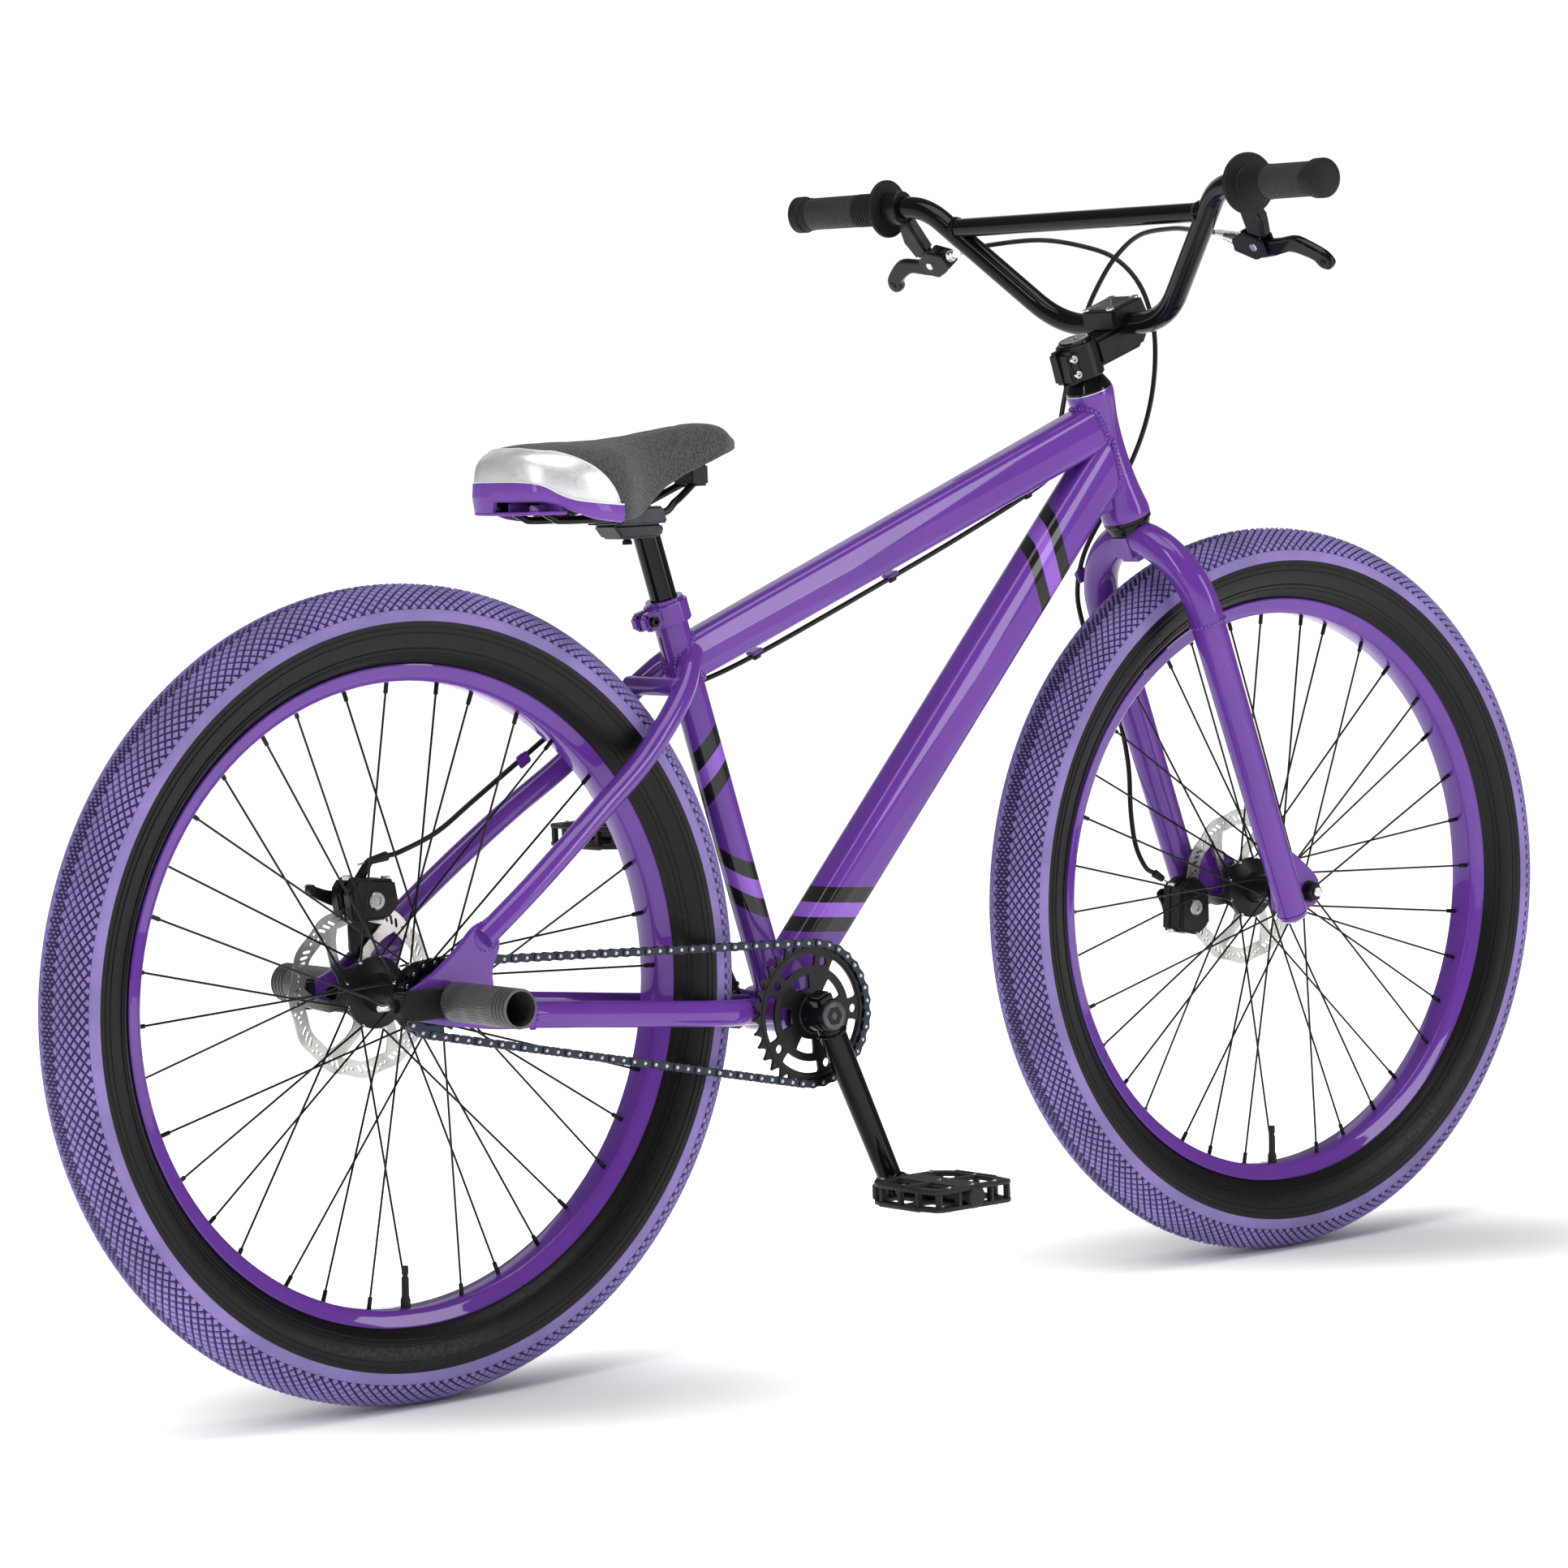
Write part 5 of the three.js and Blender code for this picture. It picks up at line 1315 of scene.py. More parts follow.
def tread_studs(x):
    points, faces = [], []
    for phi, count, length, width, rise, stagger in tread_rows():
        for sign in ((1.0,) if phi == 0.0 else (-1.0, 1.0)):
            for i in range(count):
                turn = 2 * math.pi * (i + stagger) / count

                def frame_at(a, b, h, turn=turn):
                    angle = turn + a / 368.0
                    tilt = phi + b / 35.0
                    r, y = tyre_skin(abs(tilt))
                    side = sign if tilt >= 0 else -sign
                    lift = h * rise
                    return polar(x, r + lift * math.cos(tilt), angle,
                                 side * (y + lift * math.sin(abs(tilt)) * 0.9))

                base = len(points)
                points += stud(frame_at, length, width)
                order = (0, 1, 2, 3) if sign > 0 else (3, 2, 1, 0)
                top = [base + 4 + k for k in order]
                faces.append(tuple(top))
                for k in range(4):
                    a, b = order[k], order[(k + 1) % 4]
                    faces.append((base + a, base + b, base + 4 + b, base + 4 + a))
    return points, faces, None


def tyre_shapes(x):
    crown = [tyre_skin(1.22 * i / 16) for i in range(17)]
    band = [(r, -y) for r, y in reversed(crown)] + crown[1:]
    edge_r, edge_y = crown[-1]
    strip = [(edge_r, edge_y), (341.5, 34.35), (TREAD_EDGE_R, 34.4)]
    wall = [(TREAD_EDGE_R, 34.4), (330, 34.3), (324, 33.4), (317, 31.2), (309, 27.2), (303.5, 22.6),
            (300.2, 17.6),
            (297.0, 16.4), (293.5, 16.0)]
    centre = vec(x, 0, AXLE_Z)
    # The band under the studs takes the darker groove colour, painted shade between the studs.
    shapes = [(lathe([(r, y) for r, y in band], centre, Y_AXIS, 160), "tread_groove_painted_shade")]
    for sign in (-1, 1):
        shapes.append((lathe([(r, sign * y) for r, y in strip], centre, Y_AXIS, 160), "tread"))
        shapes.append((lathe([(r, sign * y) for r, y in wall], centre, Y_AXIS, 160), "sidewall"))
        for r, y in ((331.5, 34.2), (326.5, 33.8), (312.0, 29.0), (308.0, 26.4)):
            ridge = [(r + 0.8 * a, sign * (y + 0.8 * b)) for a, b in circle(1.0, 8)]
            shapes.append((tube(ridge, centre, Y_AXIS, 160), "sidewall"))
    shapes.append((tread_studs(x), "tread"))
    return shapes


def rim_shapes(x, valve_angle):
    half = [(283.0, 0.0), (283.0, 12.4), (284.0, 14.0), (289.0, 16.4), (294.0, 17.6), (297.0, 18.9),
            (298.4, 18.4),
            (298.6, 17.2), (290.0, 16.0)]
    centre = vec(x, 0, AXLE_Z)
    shapes = [(lathe([(r, sign * y) for r, y in half], centre, Y_AXIS, 128), "rim_paint")
              for sign in (-1, 1)]
    out = polar(0, 1, valve_angle) - vec(0, 0, AXLE_Z)
    valve = lathe([(0, 245), (2.6, 245), (3.2, 246), (3.2, 252), (2.6, 253), (2.6, 255), (3.4, 256),
                   (3.4, 272), (4.6, 276),
                   (4.6, 284), (0, 284)], centre, out, 20)
    return [*shapes, (valve, "plastic")]


def spoke_shapes(x, flange_y, hoop_r):
    wires = []
    for i in range(18):
        lead = 1 if i % 2 == 0 else -1
        at_hub = 2 * math.pi * (i + (0.5 if flange_y > 0 else 0.0)) / 18
        end, start = at_hub + lead * math.pi / 3, at_hub + lead * math.pi / 6
        rim_y = math.copysign(4, flange_y) + lead * 3
        a = polar(x, hoop_r - 1.0, start, flange_y + lead * 1.6)
        b = polar(x, 283.5, end, rim_y)
        wires.append((rod(a, b, 1.05, sides=8, soft=0.2), "spoke"))
        wires.append((rod(a.lerp(b, 0.955), b, 2.1, sides=8, soft=0.3), "spoke"))
        elbow = polar(x, hoop_r - 1.0, start, flange_y)
        wires.append((rod(elbow - Y_AXIS * lead * 2.4, elbow + Y_AXIS * lead * 2.6, 1.8, sides=10,
                          soft=0.6), "silver"))
    return wires


def hub_shapes(x, profile, flanges):
    shapes = [(tube(profile, vec(x, 0, AXLE_Z), Y_AXIS, 56), "satin_black")]
    for y, radius in flanges:
        side = math.copysign(1.0, y)
        shapes.append((tube([(13, y + side * 3), (18, y + side * 3), (18.6, y + side * 5.2),
                             (13.6, y + side * 5.2)],
                            vec(x, 0, AXLE_Z), Y_AXIS, 48), "gloss_black"))
        for i in range(9):
            a = 2 * math.pi * (i + 0.25) / 9
            hole = polar(x, radius * 0.72, a, y)
            shapes.append((rod(hole - Y_AXIS * 2.4, hole + Y_AXIS * 2.4, 2.6, sides=14), "gloss_black"))
    return shapes


def slot_outline(r, angle, length, width, slant):
    """A slot with round ends, across the rotor's ring."""
    cx, cz = r * math.cos(angle), r * math.sin(angle)
    direction = angle + slant
    along = (math.cos(direction), math.sin(direction))
    across = (-along[1], along[0])
    outline = []
    for sign in (1, -1):
        for k in range(7):
            t = -math.pi / 2 + math.pi * k / 6
            u = sign * (length / 2 - width / 2 + width / 2 * math.cos(t))
            w = sign * width / 2 * math.sin(t)
            outline.append((cx + along[0] * u + across[0] * w, cz + along[1] * u + across[1] * w))
    return outline


def rotor_shapes(x, y, material):
    """A waved disc on six swept arms, with slots in pairs and clusters of holes."""
    outer = [((78.8 + 1.2 * math.cos(12 * t)) * math.cos(t), (78.8 + 1.2 * math.cos(12 * t)) * math.sin(t))
             for t in [2 * math.pi * i / 180 for i in range(180)]]
    holes = [circle(17.4, 40)]
    for i in range(6):
        a = i * math.pi / 3
        arc = [((63.6 + 0.9 * math.cos(12 * (a + t))) * math.cos(a + t),
                (63.6 + 0.9 * math.cos(12 * (a + t))) * math.sin(a + t))
               for t in [0.12 + 0.8 * k / 12 for k in range(13)]]
        back = [(r * math.cos(a + t), r * math.sin(a + t)) for r, t in
                ((55, 1.02), (45, 1.13), (35, 1.23), (29, 1.22), (26, 1.08), (26, 0.72), (30, 0.55),
                 (40, 0.42), (52, 0.24))]
        holes.append(arc + back)
        for k in range(2):
            middle = a + k * math.pi / 6
            for offset in (-0.085, 0.0, 0.085):
                holes.append(slot_outline(71.0, middle + offset, 9.0, 2.8, 0.7))
            for dr, dt in ((-3.2, 0.2), (0.6, 0.25), (3.6, 0.2), (0.2, 0.32)):
                r, t = 71.0 + dr, middle + dt
                holes.append([(r * math.cos(t) + p, r * math.sin(t) + q) for p, q in circle(1.7, 10)])
    shapes = [(plate(outer, holes, 1.8, vec(x, y, AXLE_Z), X_AXIS, Z_AXIS, 0.15), material)]
    for i in range(6):
        head = polar(x, 21.6, 2 * math.pi * i / 6 + 0.4, y)
        shapes.append((bolt(head, Y_AXIS, 3.2, 2.4, 16), "dull_black"))
    shapes.append((tube([(17.4, y + 0.8), (20.0, y + 0.8), (20.0, y + 2.6), (17.4, y + 2.6)],
                        vec(x, 0, AXLE_Z), Y_AXIS, 40), "gloss_black"))
    return shapes


REAR_HUB = [
    (7.4, -69.6), (10, -69.6), (10, -58), (16.5, -58), (16.5, -41), (22, -39), (22, -35.5), (32, -34.2),
    (33, -33.4),
    (33, -31.6), (32, -30.8), (18, -27), (16.4, -20), (16, 0), (16.4, 22), (18, 33), (32, 36.3),
    (33, 37.1), (33, 38.9),
    (32, 39.7), (22, 42), (22, 59.8), (12, 60), (12, 69.6), (7.4, 69.6)]
FRONT_HUB = [
    (5.4, -46), (11, -46), (14, -34), (17, -30), (30, -27.8), (31, -27), (31, -25), (30, -24.2),
    (16, -20), (15, 0),
    (16, 22), (30, 26.2), (31, 27), (31, 29), (30, 29.8), (22, 32), (22, 41.2), (11, 41.4), (11, 46),
    (5.4, 46)]


def build_wheels():
    for name, x, valve, spokes_at, hoop, hub, rotor_y, tone in (
            ("rear", REAR_X, -1.6, (-32.5, 38.0), 34.0, REAR_HUB, 61.0, "rear_rotor"),
            ("front", FRONT_X, -1.6, (-26.0, 28.0), 32.0, FRONT_HUB, 42.5, "front_rotor")):
        body = f"{name}_wheel"
        piece(f"{name}_tyre", body, tyre_shapes(x), [f"{name}_tyre"])
        piece(f"{name}_rim", body, rim_shapes(x, valve), [f"{name}_rim"])
        for suffix, flange in zip(("r", "l"), spokes_at):
            piece(f"{name}_spokes_{suffix}", body, spoke_shapes(x, flange, hoop),
                  [f"{name}_spokes_{suffix}"])
        flanges = [(y, hoop - 1.0) for y in spokes_at]
        piece(f"{name}_hub", body, hub_shapes(x, hub, flanges), [f"{name}_hub"])
        piece(f"{name}_rotor", body, rotor_shapes(x, rotor_y, tone), [f"{name}_rotor"])


# ---- drivetrain ----

CHAIN_Y = -50.0
SPROCKET_PITCH_R = 66.8
COG_PITCH_R = 32.55
LINKS = 94


def toothed(teeth, tip, root, turn=0.0):
    """A sprocket's outline: rounded valleys for the rollers and narrow tips."""
    outline = []
    for i in range(teeth):
        a = turn + 2 * math.pi * i / teeth
        step = 2 * math.pi / teeth
        for share, r in ((0.0, root), (0.12, root + 0.4), (0.24, root + 2.2),
                         (0.36, (root + tip) / 2 + 0.8), (0.45, tip - 0.2),
                         (0.5, tip), (0.55, tip - 0.2), (0.64, (root + tip) / 2 + 0.8),
                         (0.76, root + 2.2), (0.88, root + 0.4)):
            outline.append((r * math.cos(a + share * step), r * math.sin(a + share * step)))
    return outline


def arc_window(r0, r1, start, stop, steps=8):
    outline = [(r1 * math.cos(start + (stop - start) * k / steps),
                r1 * math.sin(start + (stop - start) * k / steps))
               for k in range(steps + 1)]
    outline += [(r0 * math.cos(stop - (stop - start) * k / steps),
                 r0 * math.sin(stop - (stop - start) * k / steps))
                for k in range(steps + 1)]
    return outline


def build_sprocket():
    holes = [circle(9.9, 32)]
    for i in range(5):
        a = 2 * math.pi * i / 5 + 0.2
        holes.append(softened(arc_window(45.0, 56.5, a, a + 0.86), 1))
        holes.append(softened(arc_window(24.0, 38.0, a + 0.16, a + 0.78), 1))
        holes.append([(50.5 * math.cos(a - 0.2) + p, 50.5 * math.sin(a - 0.2) + q)
                      for p, q in circle(4.4, 20)])
    disc = plate(toothed(33, 70.0, 62.6), holes, 3.0, vec(BB.x, CHAIN_Y, BB.z), X_AXIS, Z_AXIS, 0.3)
    boss = tube([(9.9, -56.6), (18, -56.6), (19, -55.6), (19, -47), (9.9, -47)], vec(BB.x, 0, BB.z),
                Y_AXIS, 40)
    lip = tube([(57.6, -52.4), (61.2, -52.0), (61.2, -48.0), (57.6, -47.6)], vec(BB.x, 0, BB.z), Y_AXIS, 96)
    piece("sprocket", "cranks", [(disc, "satin_black"), (boss, "satin_black"), (lip, "satin_black")],
          ["sprocket"])
    cog = plate(toothed(16, 35.0, 28.4), [circle(17.4, 32)], 3.0, vec(REAR_X, CHAIN_Y, AXLE_Z), X_AXIS,
                Z_AXIS, 0.3)
    shell = tube([(17.4, -57.5), (22, -57.5), (23, -56.5), (25, -48), (25, -42.3), (17.4, -42.3)],
                 vec(REAR_X, 0, AXLE_Z), Y_AXIS, 48)
    piece("rear_cog", "freewheel", [(cog, "chain"), (shell, "chain")], ["rear_cog"])


def chain_path():
    """Points along the pitch line, one per pin."""
    small, big = vec(REAR_X, CHAIN_Y, AXLE_Z), vec(BB.x, CHAIN_Y, BB.z)
    gap = big - small
    distance = math.hypot(gap.x, gap.z)
    line = math.atan2(-gap.z, -gap.x)
    spread_angle = math.acos((SPROCKET_PITCH_R - COG_PITCH_R) / distance)
    dense = []
    for centre, r, start, stop in (
            (small, COG_PITCH_R, line - spread_angle, line + spread_angle),
            (big, SPROCKET_PITCH_R, line + spread_angle, line + 2 * math.pi - spread_angle)):
        for k in range(121):
            a = start + (stop - start) * k / 120
            dense.append(centre + vec(r * math.cos(a), 0, r * math.sin(a)))
    dense.append(dense[0])
    lengths = [0.0]
    for a, b in zip(dense, dense[1:]):
        lengths.append(lengths[-1] + (b - a).length)
    pins, k = [], 0
    for i in range(LINKS):
        target = lengths[-1] * i / LINKS
        while lengths[k + 1] < target:
            k += 1
        share = (target - lengths[k]) / (lengths[k + 1] - lengths[k])
        pins.append(dense[k].lerp(dense[k + 1], share))
    return pins


def link_outline(a, b, radius=4.2, waist=3.1):
    """A chain plate's figure of eight around two pins."""
    run = (b - a).normalized()
    up = vec(-run.z, 0, run.x)
    outline = []
    for centre, sign in ((b, 1), (a, -1)):
        for k in range(9):
            t = -math.pi / 2 + math.pi * k / 8
            p = centre + (run * math.cos(t) * radius + up * math.sin(t) * radius) * sign
            outline.append((p.x, p.z))
        p = (a + b) / 2 + up * waist * sign
        outline.append((p.x, p.z))
    return outline


def build_chain():
    pins = chain_path()
    shapes = []
    for i, a in enumerate(pins):
        b = pins[(i + 1) % LINKS]
        outline = link_outline(a, b)
        inner, outer = (2.2, 3.1) if i % 2 else (3.2, 4.1)
        shapes.append((slab(outline, CHAIN_Y + inner, CHAIN_Y + outer), "chain"))
        shapes.append((slab(outline, CHAIN_Y - outer, CHAIN_Y - inner), "chain"))
        shapes.append((rod(a - Y_AXIS * 4.6, a + Y_AXIS * 4.6, 1.9, sides=12, soft=0.5), "bearing"))
        shapes.append((rod(a - Y_AXIS * 2.1, a + Y_AXIS * 2.1, 3.9, sides=14, soft=0.2), "chain"))
    piece("chain", "frame", shapes, ["chain"])


def crank_end(y):
    return vec(BB.x, y, BB.z) + CRANK_DIR * CRANK_LENGTH


def crank_shapes():
    side, other = basis_for(CRANK_DIR)
    arm = rod(vec(BB.x, -70, BB.z), crank_end(-84), 13.4, 11.4, 28, 1.5)
    root = lathe([(9.8, -57), (15.5, -57), (16.5, -58), (16.5, -80), (15.0, -83), (9.8, -83)], BB,
                 Y_AXIS, 40)
    eye = lathe([(0, -73), (13.2, -73), (14, -74), (13.4, -94.5), (12.4, -96), (0, -96)], crank_end(0),
                Y_AXIS, 36)
    axle = lathe([(0, -96), (7.6, -96), (7.6, -99), (6.6, -100), (5, -190), (0, -190)], crank_end(0),
                 Y_AXIS, 24)
    pinch = box_at(vec(BB.x, -70, BB.z) - CRANK_DIR * 15, (14, 22, 20),
                   (CRANK_DIR, Y_AXIS, CRANK_DIR.cross(Y_AXIS)), 3)
    shapes = [(arm, "gloss_black"), (root, "gloss_black"), (eye, "gloss_black"), (axle, "silver"),
              (pinch, "gloss_black")]
    collar = sweep([vec(BB.x, -71.5, BB.z) + CRANK_DIR * (17.5 + abs(a) * 1.0) + (side * a + other * b) * 13.4
                    for a, b in circle(1.0, 70)], circle(1.5, 8),
                    [1.0 + 0.22 * math.cos(i * 2.1) for i in range(70)], closed=True)
    return [*shapes, (collar, "gloss_black")]


def build_cranks():
    right = crank_shapes()
    piece("crank_arm_r", "cranks", right, ["crank_arm_r"])
    piece("crank_arm_l", "cranks", [(opposite(shape), name) for shape, name in right], ["crank_arm_l"])
    bar = lathe([(0, -83.4), (9.4, -83.4), (9.4, 83.4), (0, 83.4)], BB, Y_AXIS, 32)
    shapes = [(bar, "satin_black")]
    for sign in (-1, 1):
        washer = lathe([(0, 83.0), (13.6, 83.0), (13.6, 84.6), (12.8, 85.2), (0, 85.2)], BB,
                       Y_AXIS * sign, 40)
        head = lathe([(0, 82.6), (4.4, 84.4), (4.4, 86.0), (8.6, 86.0), (9.4, 85.0), (9.4, 83.0),
                      (0, 83.0)], BB, Y_AXIS * sign, 6)
        shapes += [(washer, "knurl"), (head, "satin_black")]
    piece("crank_spindle", "cranks", shapes, ["crank_spindle"])
    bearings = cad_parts["bb_bearings"]
    bearings.data.materials.clear()
    bearings.data.materials.append(M["bearing"])


def pedal_shapes():
    centre = crank_end(0)
    plan = [(-36, -101), (36, -101), (46, -112), (50, -124), (50, -176), (46, -199), (40, -203),
            (-40, -203), (-46, -199),
            (-50, -176), (-50, -124), (-46, -112)]
    windows = []
    for side in (-1, 1):
        windows.append([(side * x, y) for x, y in ((14, -110), (32, -110), (41, -124), (41, -150),
                                                   (14, -150))])
        windows.append([(side * x, y) for x, y in ((14, -156), (41, -156), (41, -176), (36, -194),
                                                   (14, -194))])
    shapes = []
    for z in (-8.6, 8.6):
        deck = plate(plan, windows, 4.2, vec(centre.x, 0, centre.z + z), X_AXIS, Y_AXIS, 0.8)
        shapes.append((deck, "plastic"))
    barrel = lathe([(7.6, -100), (12.0, -100), (12.0, -104), (10.4, -108), (10.0, -190), (11.0, -203),
                    (7.6, -203)], centre * 1.0
                   - Y_AXIS * centre.y, Y_AXIS, 28)
    cap = lathe([(0, -203), (10, -203), (10, -204.6), (8.6, -206), (0, -206)],
                centre - Y_AXIS * centre.y, Y_AXIS, 28)
    shapes += [(barrel, "plastic"), (cap, "plastic")]
    for x, y in ((-47, -124), (-47, -150), (-47, -176), (47, -124), (47, -150), (47, -176), (-40, -106),
                 (40, -106),
                 (-42, -199), (42, -199), (0, -105), (0, -199), (-20, -201), (20, -201), (-22, -103),
                 (22, -103)):
        shapes.append((box_at(centre + vec(x, y, 0), (4.6, 6.4, 14.6), bevel=0.8), "plastic"))
    for k in range(18):
        y = -122 - k * 3.2
        for side in (-1, 1):
            for level in (-1, 1):
                tooth = [centre + vec(side * a, y + b, level * c) for a, b, c in (
                    (44, -1.2, 9.6), (50, -1.2, 9.6), (44, 1.2, 9.6), (50, 1.2, 9.6), (45, 0, 12.0),
                    (49.4, 0, 12.0))]
                shapes.append((block(tooth, 0.2, 1), "plastic"))
    for x, y in ((-30, -105), (30, -105), (0, -152), (-44, -152), (44, -152), (-28, -198), (28, -198),
                 (0, -198)):
        for level in (-1, 1):
            pin = lathe([(0, 10.0), (2.6, 10.0), (2.6, 10.8), (1.9, 11.2), (1.9, 12.0), (0, 12.0)],
                        centre + vec(x, y, 0), Z_AXIS * level, 12)
            shapes.append((pin, "silver"))
    return shapes


def build_pedals():
    right = pedal_shapes()
    piece("pedal_r", "pedal_r", right, ["pedal_r"])
    piece("pedal_l", "pedal_l", [(opposite(shape), name) for shape, name in right], ["pedal_l"])


# ---- axles, pegs, tensioners and brakes ----

def build_axles_and_pegs():
    rear = vec(REAR_X, 0, AXLE_Z)
    shapes = [(rod(rear - Y_AXIS * 107, rear + Y_AXIS * 107, 7), "silver")]
    for sign in (-1, 1):
        nut = lathe([(7, 92.4), (11.5, 92.4), (11.5, 103), (10.2, 104), (7, 104)], rear, Y_AXIS * sign, 6)
        shapes.append((nut, "dull_black"))
    piece("rear_axle", "frame", shapes, ["rear_axle"])
    outer = [(7.4, -86.0), (17.0, -86.0), (18.0, -87.0), (18.0, -160.0)]
    for k in range(4):
        y = -160.0 - k * 5.2
        outer += [(18.0, y - 2.6), (16.6, y - 3.2), (16.6, y - 4.6), (18.0, y - 5.2)]
    outer += [(18.0, -181.6), (17.2, -182.5), (15.6, -182.5), (15.6, -92.0), (7.4, -92.0)]
    body = tube(outer, rear, Y_AXIS, 56)
    for suffix, turn in (("r", lambda s: s), ("l", mirror)):
        piece(f"peg_{suffix}", "frame", [(turn(body), "knurl")], [f"peg_{suffix}"])
    front = vec(FRONT_X, 0, AXLE_Z)
    shapes = [(rod(front - Y_AXIS * 70, front + Y_AXIS * 70, 5), "silver")]
    for sign in (-1, 1):
        washer = lathe([(5, 57.4), (11, 57.4), (11, 59.0), (5, 59.0)], front, Y_AXIS * sign, 32)
        nut = lathe([(5, 59.0), (9.6, 59.0), (9.6, 66), (8.4, 67), (5, 67)], front, Y_AXIS * sign, 6)
        cone = lathe([(5, 46.4), (8.5, 46.4), (8.5, 50), (5, 50)], front, Y_AXIS * sign, 24)
        shapes += [(washer, "dull_black"), (nut, "dull_black"), (cone, "dull_black")]
    piece("front_axle", "fork", shapes, ["front_axle"])


def build_tensioners():
    outline = [(-601, 357.5), (-560, 357.5), (-536, 358), (-527, 363), (-527, 377), (-536, 382),
               (-560, 382.5), (-601, 382.5)]
    hole = [(REAR_X + a, AXLE_Z + b) for a, b in circle(7.4, 24)]
    face = plate(softened(outline, 1), [hole], 8.0, vec(0, -81.6, 0), X_AXIS, Z_AXIS, 1.4)
    back = box_at(vec(-596, -76, AXLE_Z), (10, 19.4, 25), bevel=1.6)
    screw = rod(vec(-590, -71, AXLE_Z), vec(-619, -71, AXLE_Z), 3.1)
    nut = lathe([(0, 0), (6.4, 0), (6.4, 5), (0, 5)], vec(-601, -71, AXLE_Z), -X_AXIS, 6)
    shapes = [(face, "dull_black"), (back, "dull_black"), (screw, "silver"), (nut, "dull_black")]
    for suffix, turn in (("r", lambda s: s), ("l", mirror)):
        piece(f"chain_tensioner_{suffix}", "frame", [(turn(s), n) for s, n in shapes],
              [f"chain_tensioner_{suffix}"])


def caliper_shapes(outline, axle_x, y0, slot0, slot1, y1, knob):
    """A body in two halves around the disc, with a round adjuster facing inboard."""
    shapes = []
    for low, high in ((y0, slot0), (slot1, y1)):
        shapes.append((block([vec(x, y, z) for y in (low, high) for x, z in outline], 3, 3), "satin_black"))
    middle = (y0 + y1) / 2
    corners = sorted(outline, key=lambda p: -math.hypot(p[0] - axle_x, p[1] - AXLE_Z))[:2]
    bridge = []
    for x, z in corners:
        inward = vec(axle_x - x, 0, AXLE_Z - z).normalized()
        bridge += [vec(x, y, z) + inward * depth for y in (y0 + 2, y1 - 2) for depth in (1, 10)]
    shapes.append((block(bridge, 2), "satin_black"))
    dial = lathe([(0, 0), (8.4, 0), (8.4, 2.6), (7.4, 3.6), (4.0, 3.6), (3.6, 2.4), (0, 2.4)], knob,
                 -Y_AXIS, 36)
    shapes.append((dial, "bearing"))
    for x, z in corners:
        shapes.append((bolt(vec(x, middle, z - 2), Z_AXIS, 4.2, 4.0), "silver"))
    return shapes


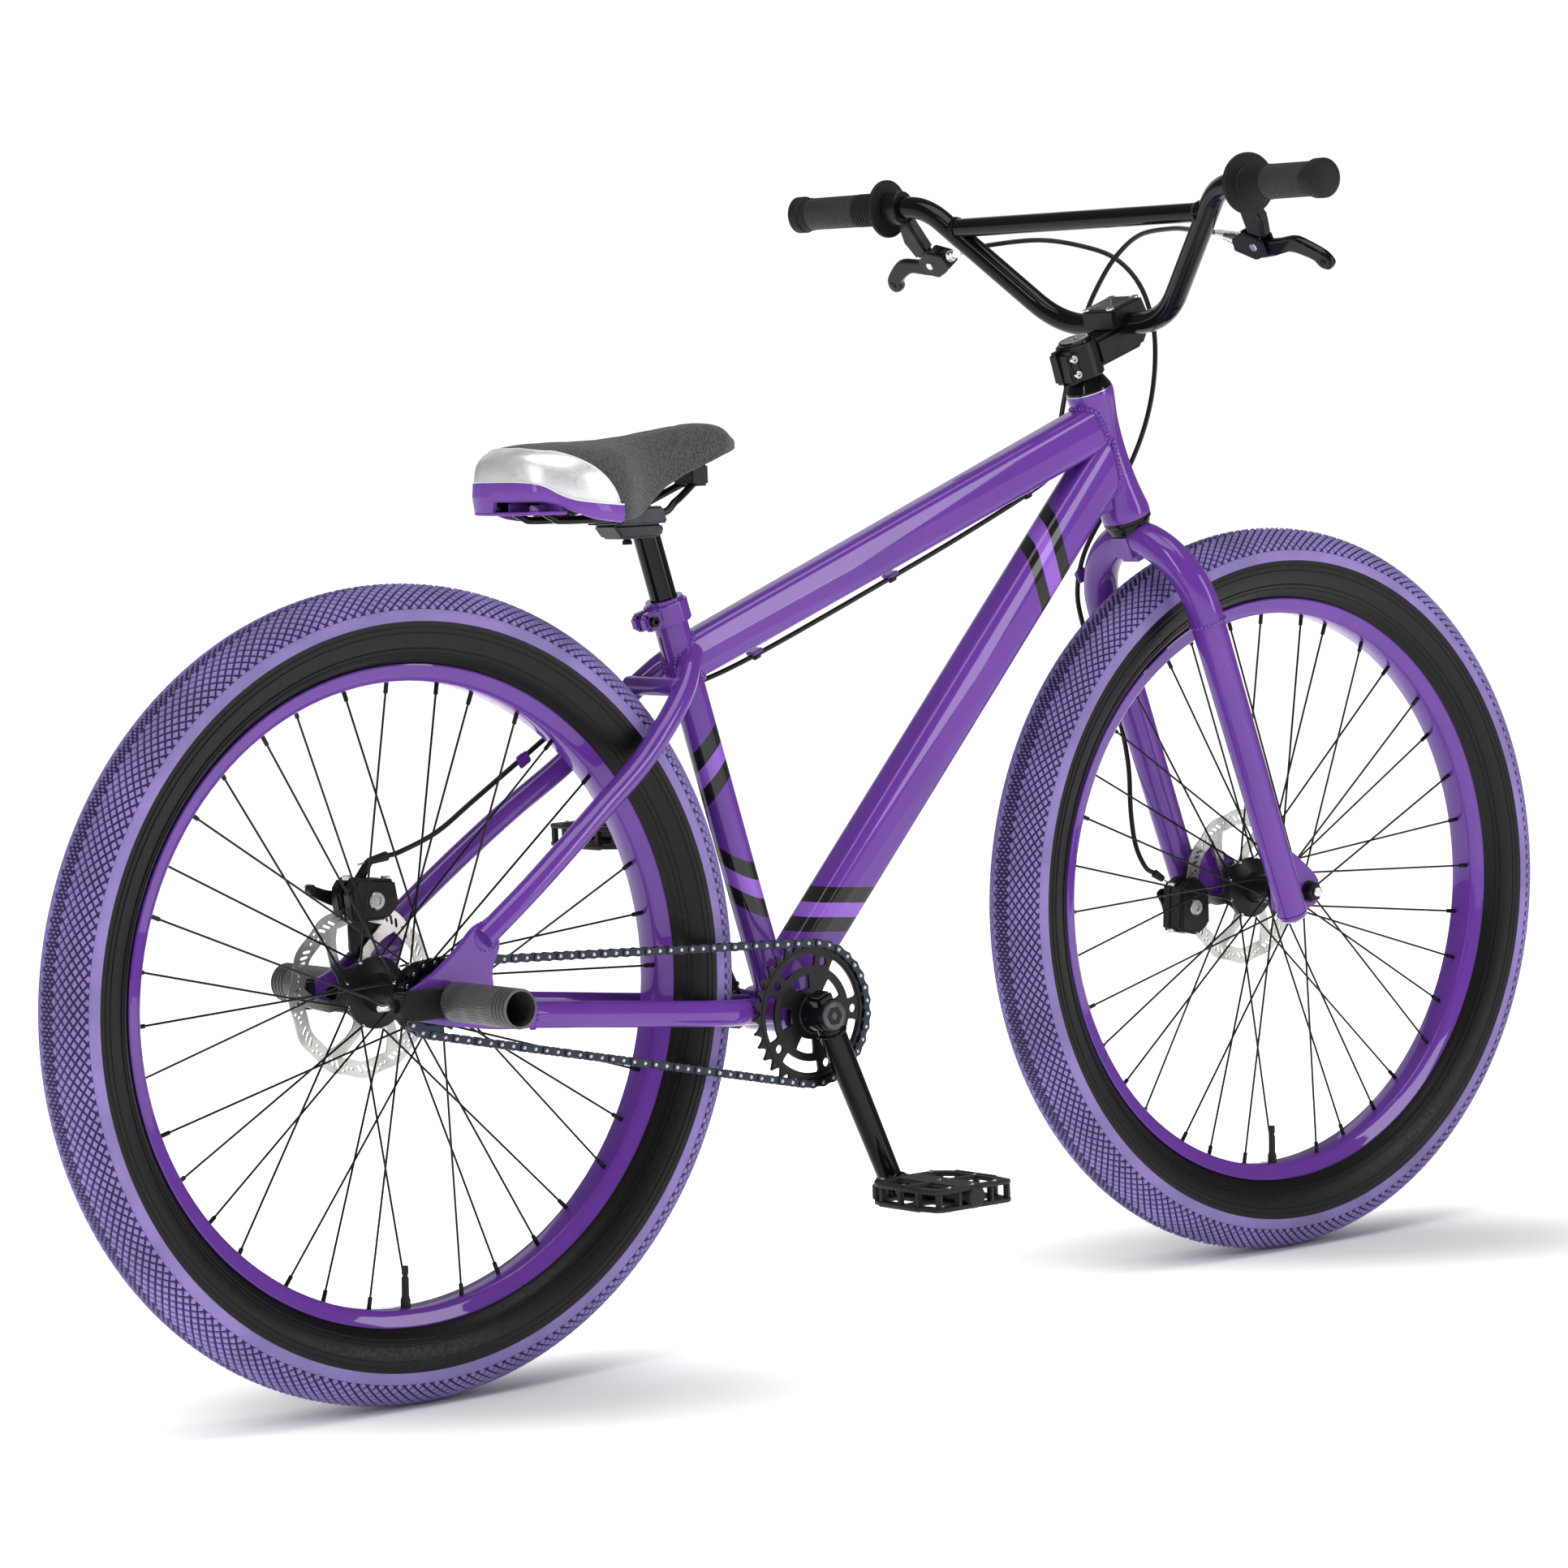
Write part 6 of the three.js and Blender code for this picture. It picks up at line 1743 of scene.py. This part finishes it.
def build_brakes():
    outline = [(-561, 434), (-524, 434), (-510, 446), (-514, 470), (-556, 474), (-565, 462)]
    rear = caliper_shapes(outline, REAR_X, 44, 58.6, 63.4, 79, vec(-536, 46, 452))
    bracket = plate(softened([(-552, 400), (-530, 400), (-523, 438), (-552, 438)], 1), [], 5,
                    vec(0, 66.7, 0), X_AXIS, Z_AXIS, 0.8)
    post = rod(vec(-540, 70, 466), vec(-528, 66, 486), 5, 4)
    piece("rear_caliper", "frame", [*rear, (bracket, "satin_black"), (post, "satin_black")],
          ["rear_caliper"])
    arm = [(-556, 447), (-536, 445), (-532, 455), (-541, 461), (-562, 460), (-584, 468), (-588, 463),
           (-570, 453)]
    barrel = rod(vec(-584, 76, 465), vec(-584, 79.6, 465), 4.4)
    shapes = [(barrel, "satin_black"), (plate(softened(arm), [], 4.6, vec(0, 81.7, 0), X_AXIS, Z_AXIS,
                                              1.0), "satin_black"),
              (bolt(vec(-540, 83.6, 452), Y_AXIS, 5.4, 2.4), "silver"),
              (bolt(vec(-583, 83.6, 466), Y_AXIS, 3.4, 2.4), "silver")]
    piece("rear_caliper_arm", "rear_caliper_arm", shapes, ["rear_caliper_arm"])
    outline = [(447, 333), (472, 327), (489, 338), (489, 372), (470, 388), (450, 380)]
    front = caliper_shapes(outline, FRONT_X, 29.5, 40.1, 44.9, 60, vec(468, 31, 356))
    mount = block([vec(x, y, z) for y in (46, 55.5)
                   for x, z in ((470, 372), (487, 372), (490, 396), (476, 396))], 1.4)
    piece("front_caliper", "fork", [*front, (mount, "satin_black")], ["front_caliper"])
    arm = [(456, 346), (474, 346), (476, 362), (466, 370), (452, 375), (445, 370), (452, 360)]
    shapes = [(plate(softened(arm), [], 3.6, vec(0, 62.2, 0), X_AXIS, Z_AXIS, 0.9), "satin_black"),
              (bolt(vec(466, 63.8, 355), Y_AXIS, 5.0, 2.2), "silver")]
    piece("front_caliper_arm", "front_caliper_arm", shapes, ["front_caliper_arm"])


# ---- the scene ----

def add_striped_paints():
    run = (DOWN_TUBE[1] - DOWN_TUBE[0]).normalized()
    normal = vec(-run.z, 0, run.x)
    low = run + normal * 0.756
    high = run - normal * 0.6 - Y_AXIS * 0.65
    M["down_paint"] = striped_paint("down_tube_paint", [
        (low, low.dot(STRIPE_START), [(64.2, 81.6), (99.0, 117.6)], [(81.6, 99.0)]),
        (high, high.dot(STRIPE_START) + 11.05, [(480.0, 497.0), (520.0, 537.0)], [(497.0, 520.0)])])
    falling = SEAT_UP - SEAT_BACK * 0.68 - Y_AXIS * 0.53
    rising = SEAT_UP + SEAT_BACK * 0.6 + Y_AXIS * 0.47
    M["seat_paint"] = striped_paint("seat_tube_paint", [
        (falling, falling.dot(BB), [(105.5, 124.5), (143.5, 161.5)], [(124.5, 143.5)]),
        (rising, rising.dot(BB), [(223.0, 240.0), (257.5, 276.0)], [(240.0, 257.5)])])


add_striped_paints()
build_main_tubes()
build_rear_triangle()
build_cable_guides()
build_seat_clamp()
build_seatpost_and_rails()
build_saddle()
build_headset()
build_fork()
build_stem()
build_handlebar()
build_levers()
build_cables()
build_wheels()
build_sprocket()
build_chain()
build_cranks()
build_pedals()
build_axles_and_pegs()
build_tensioners()
build_brakes()
lay_floor()
light_studio()
place_camera()
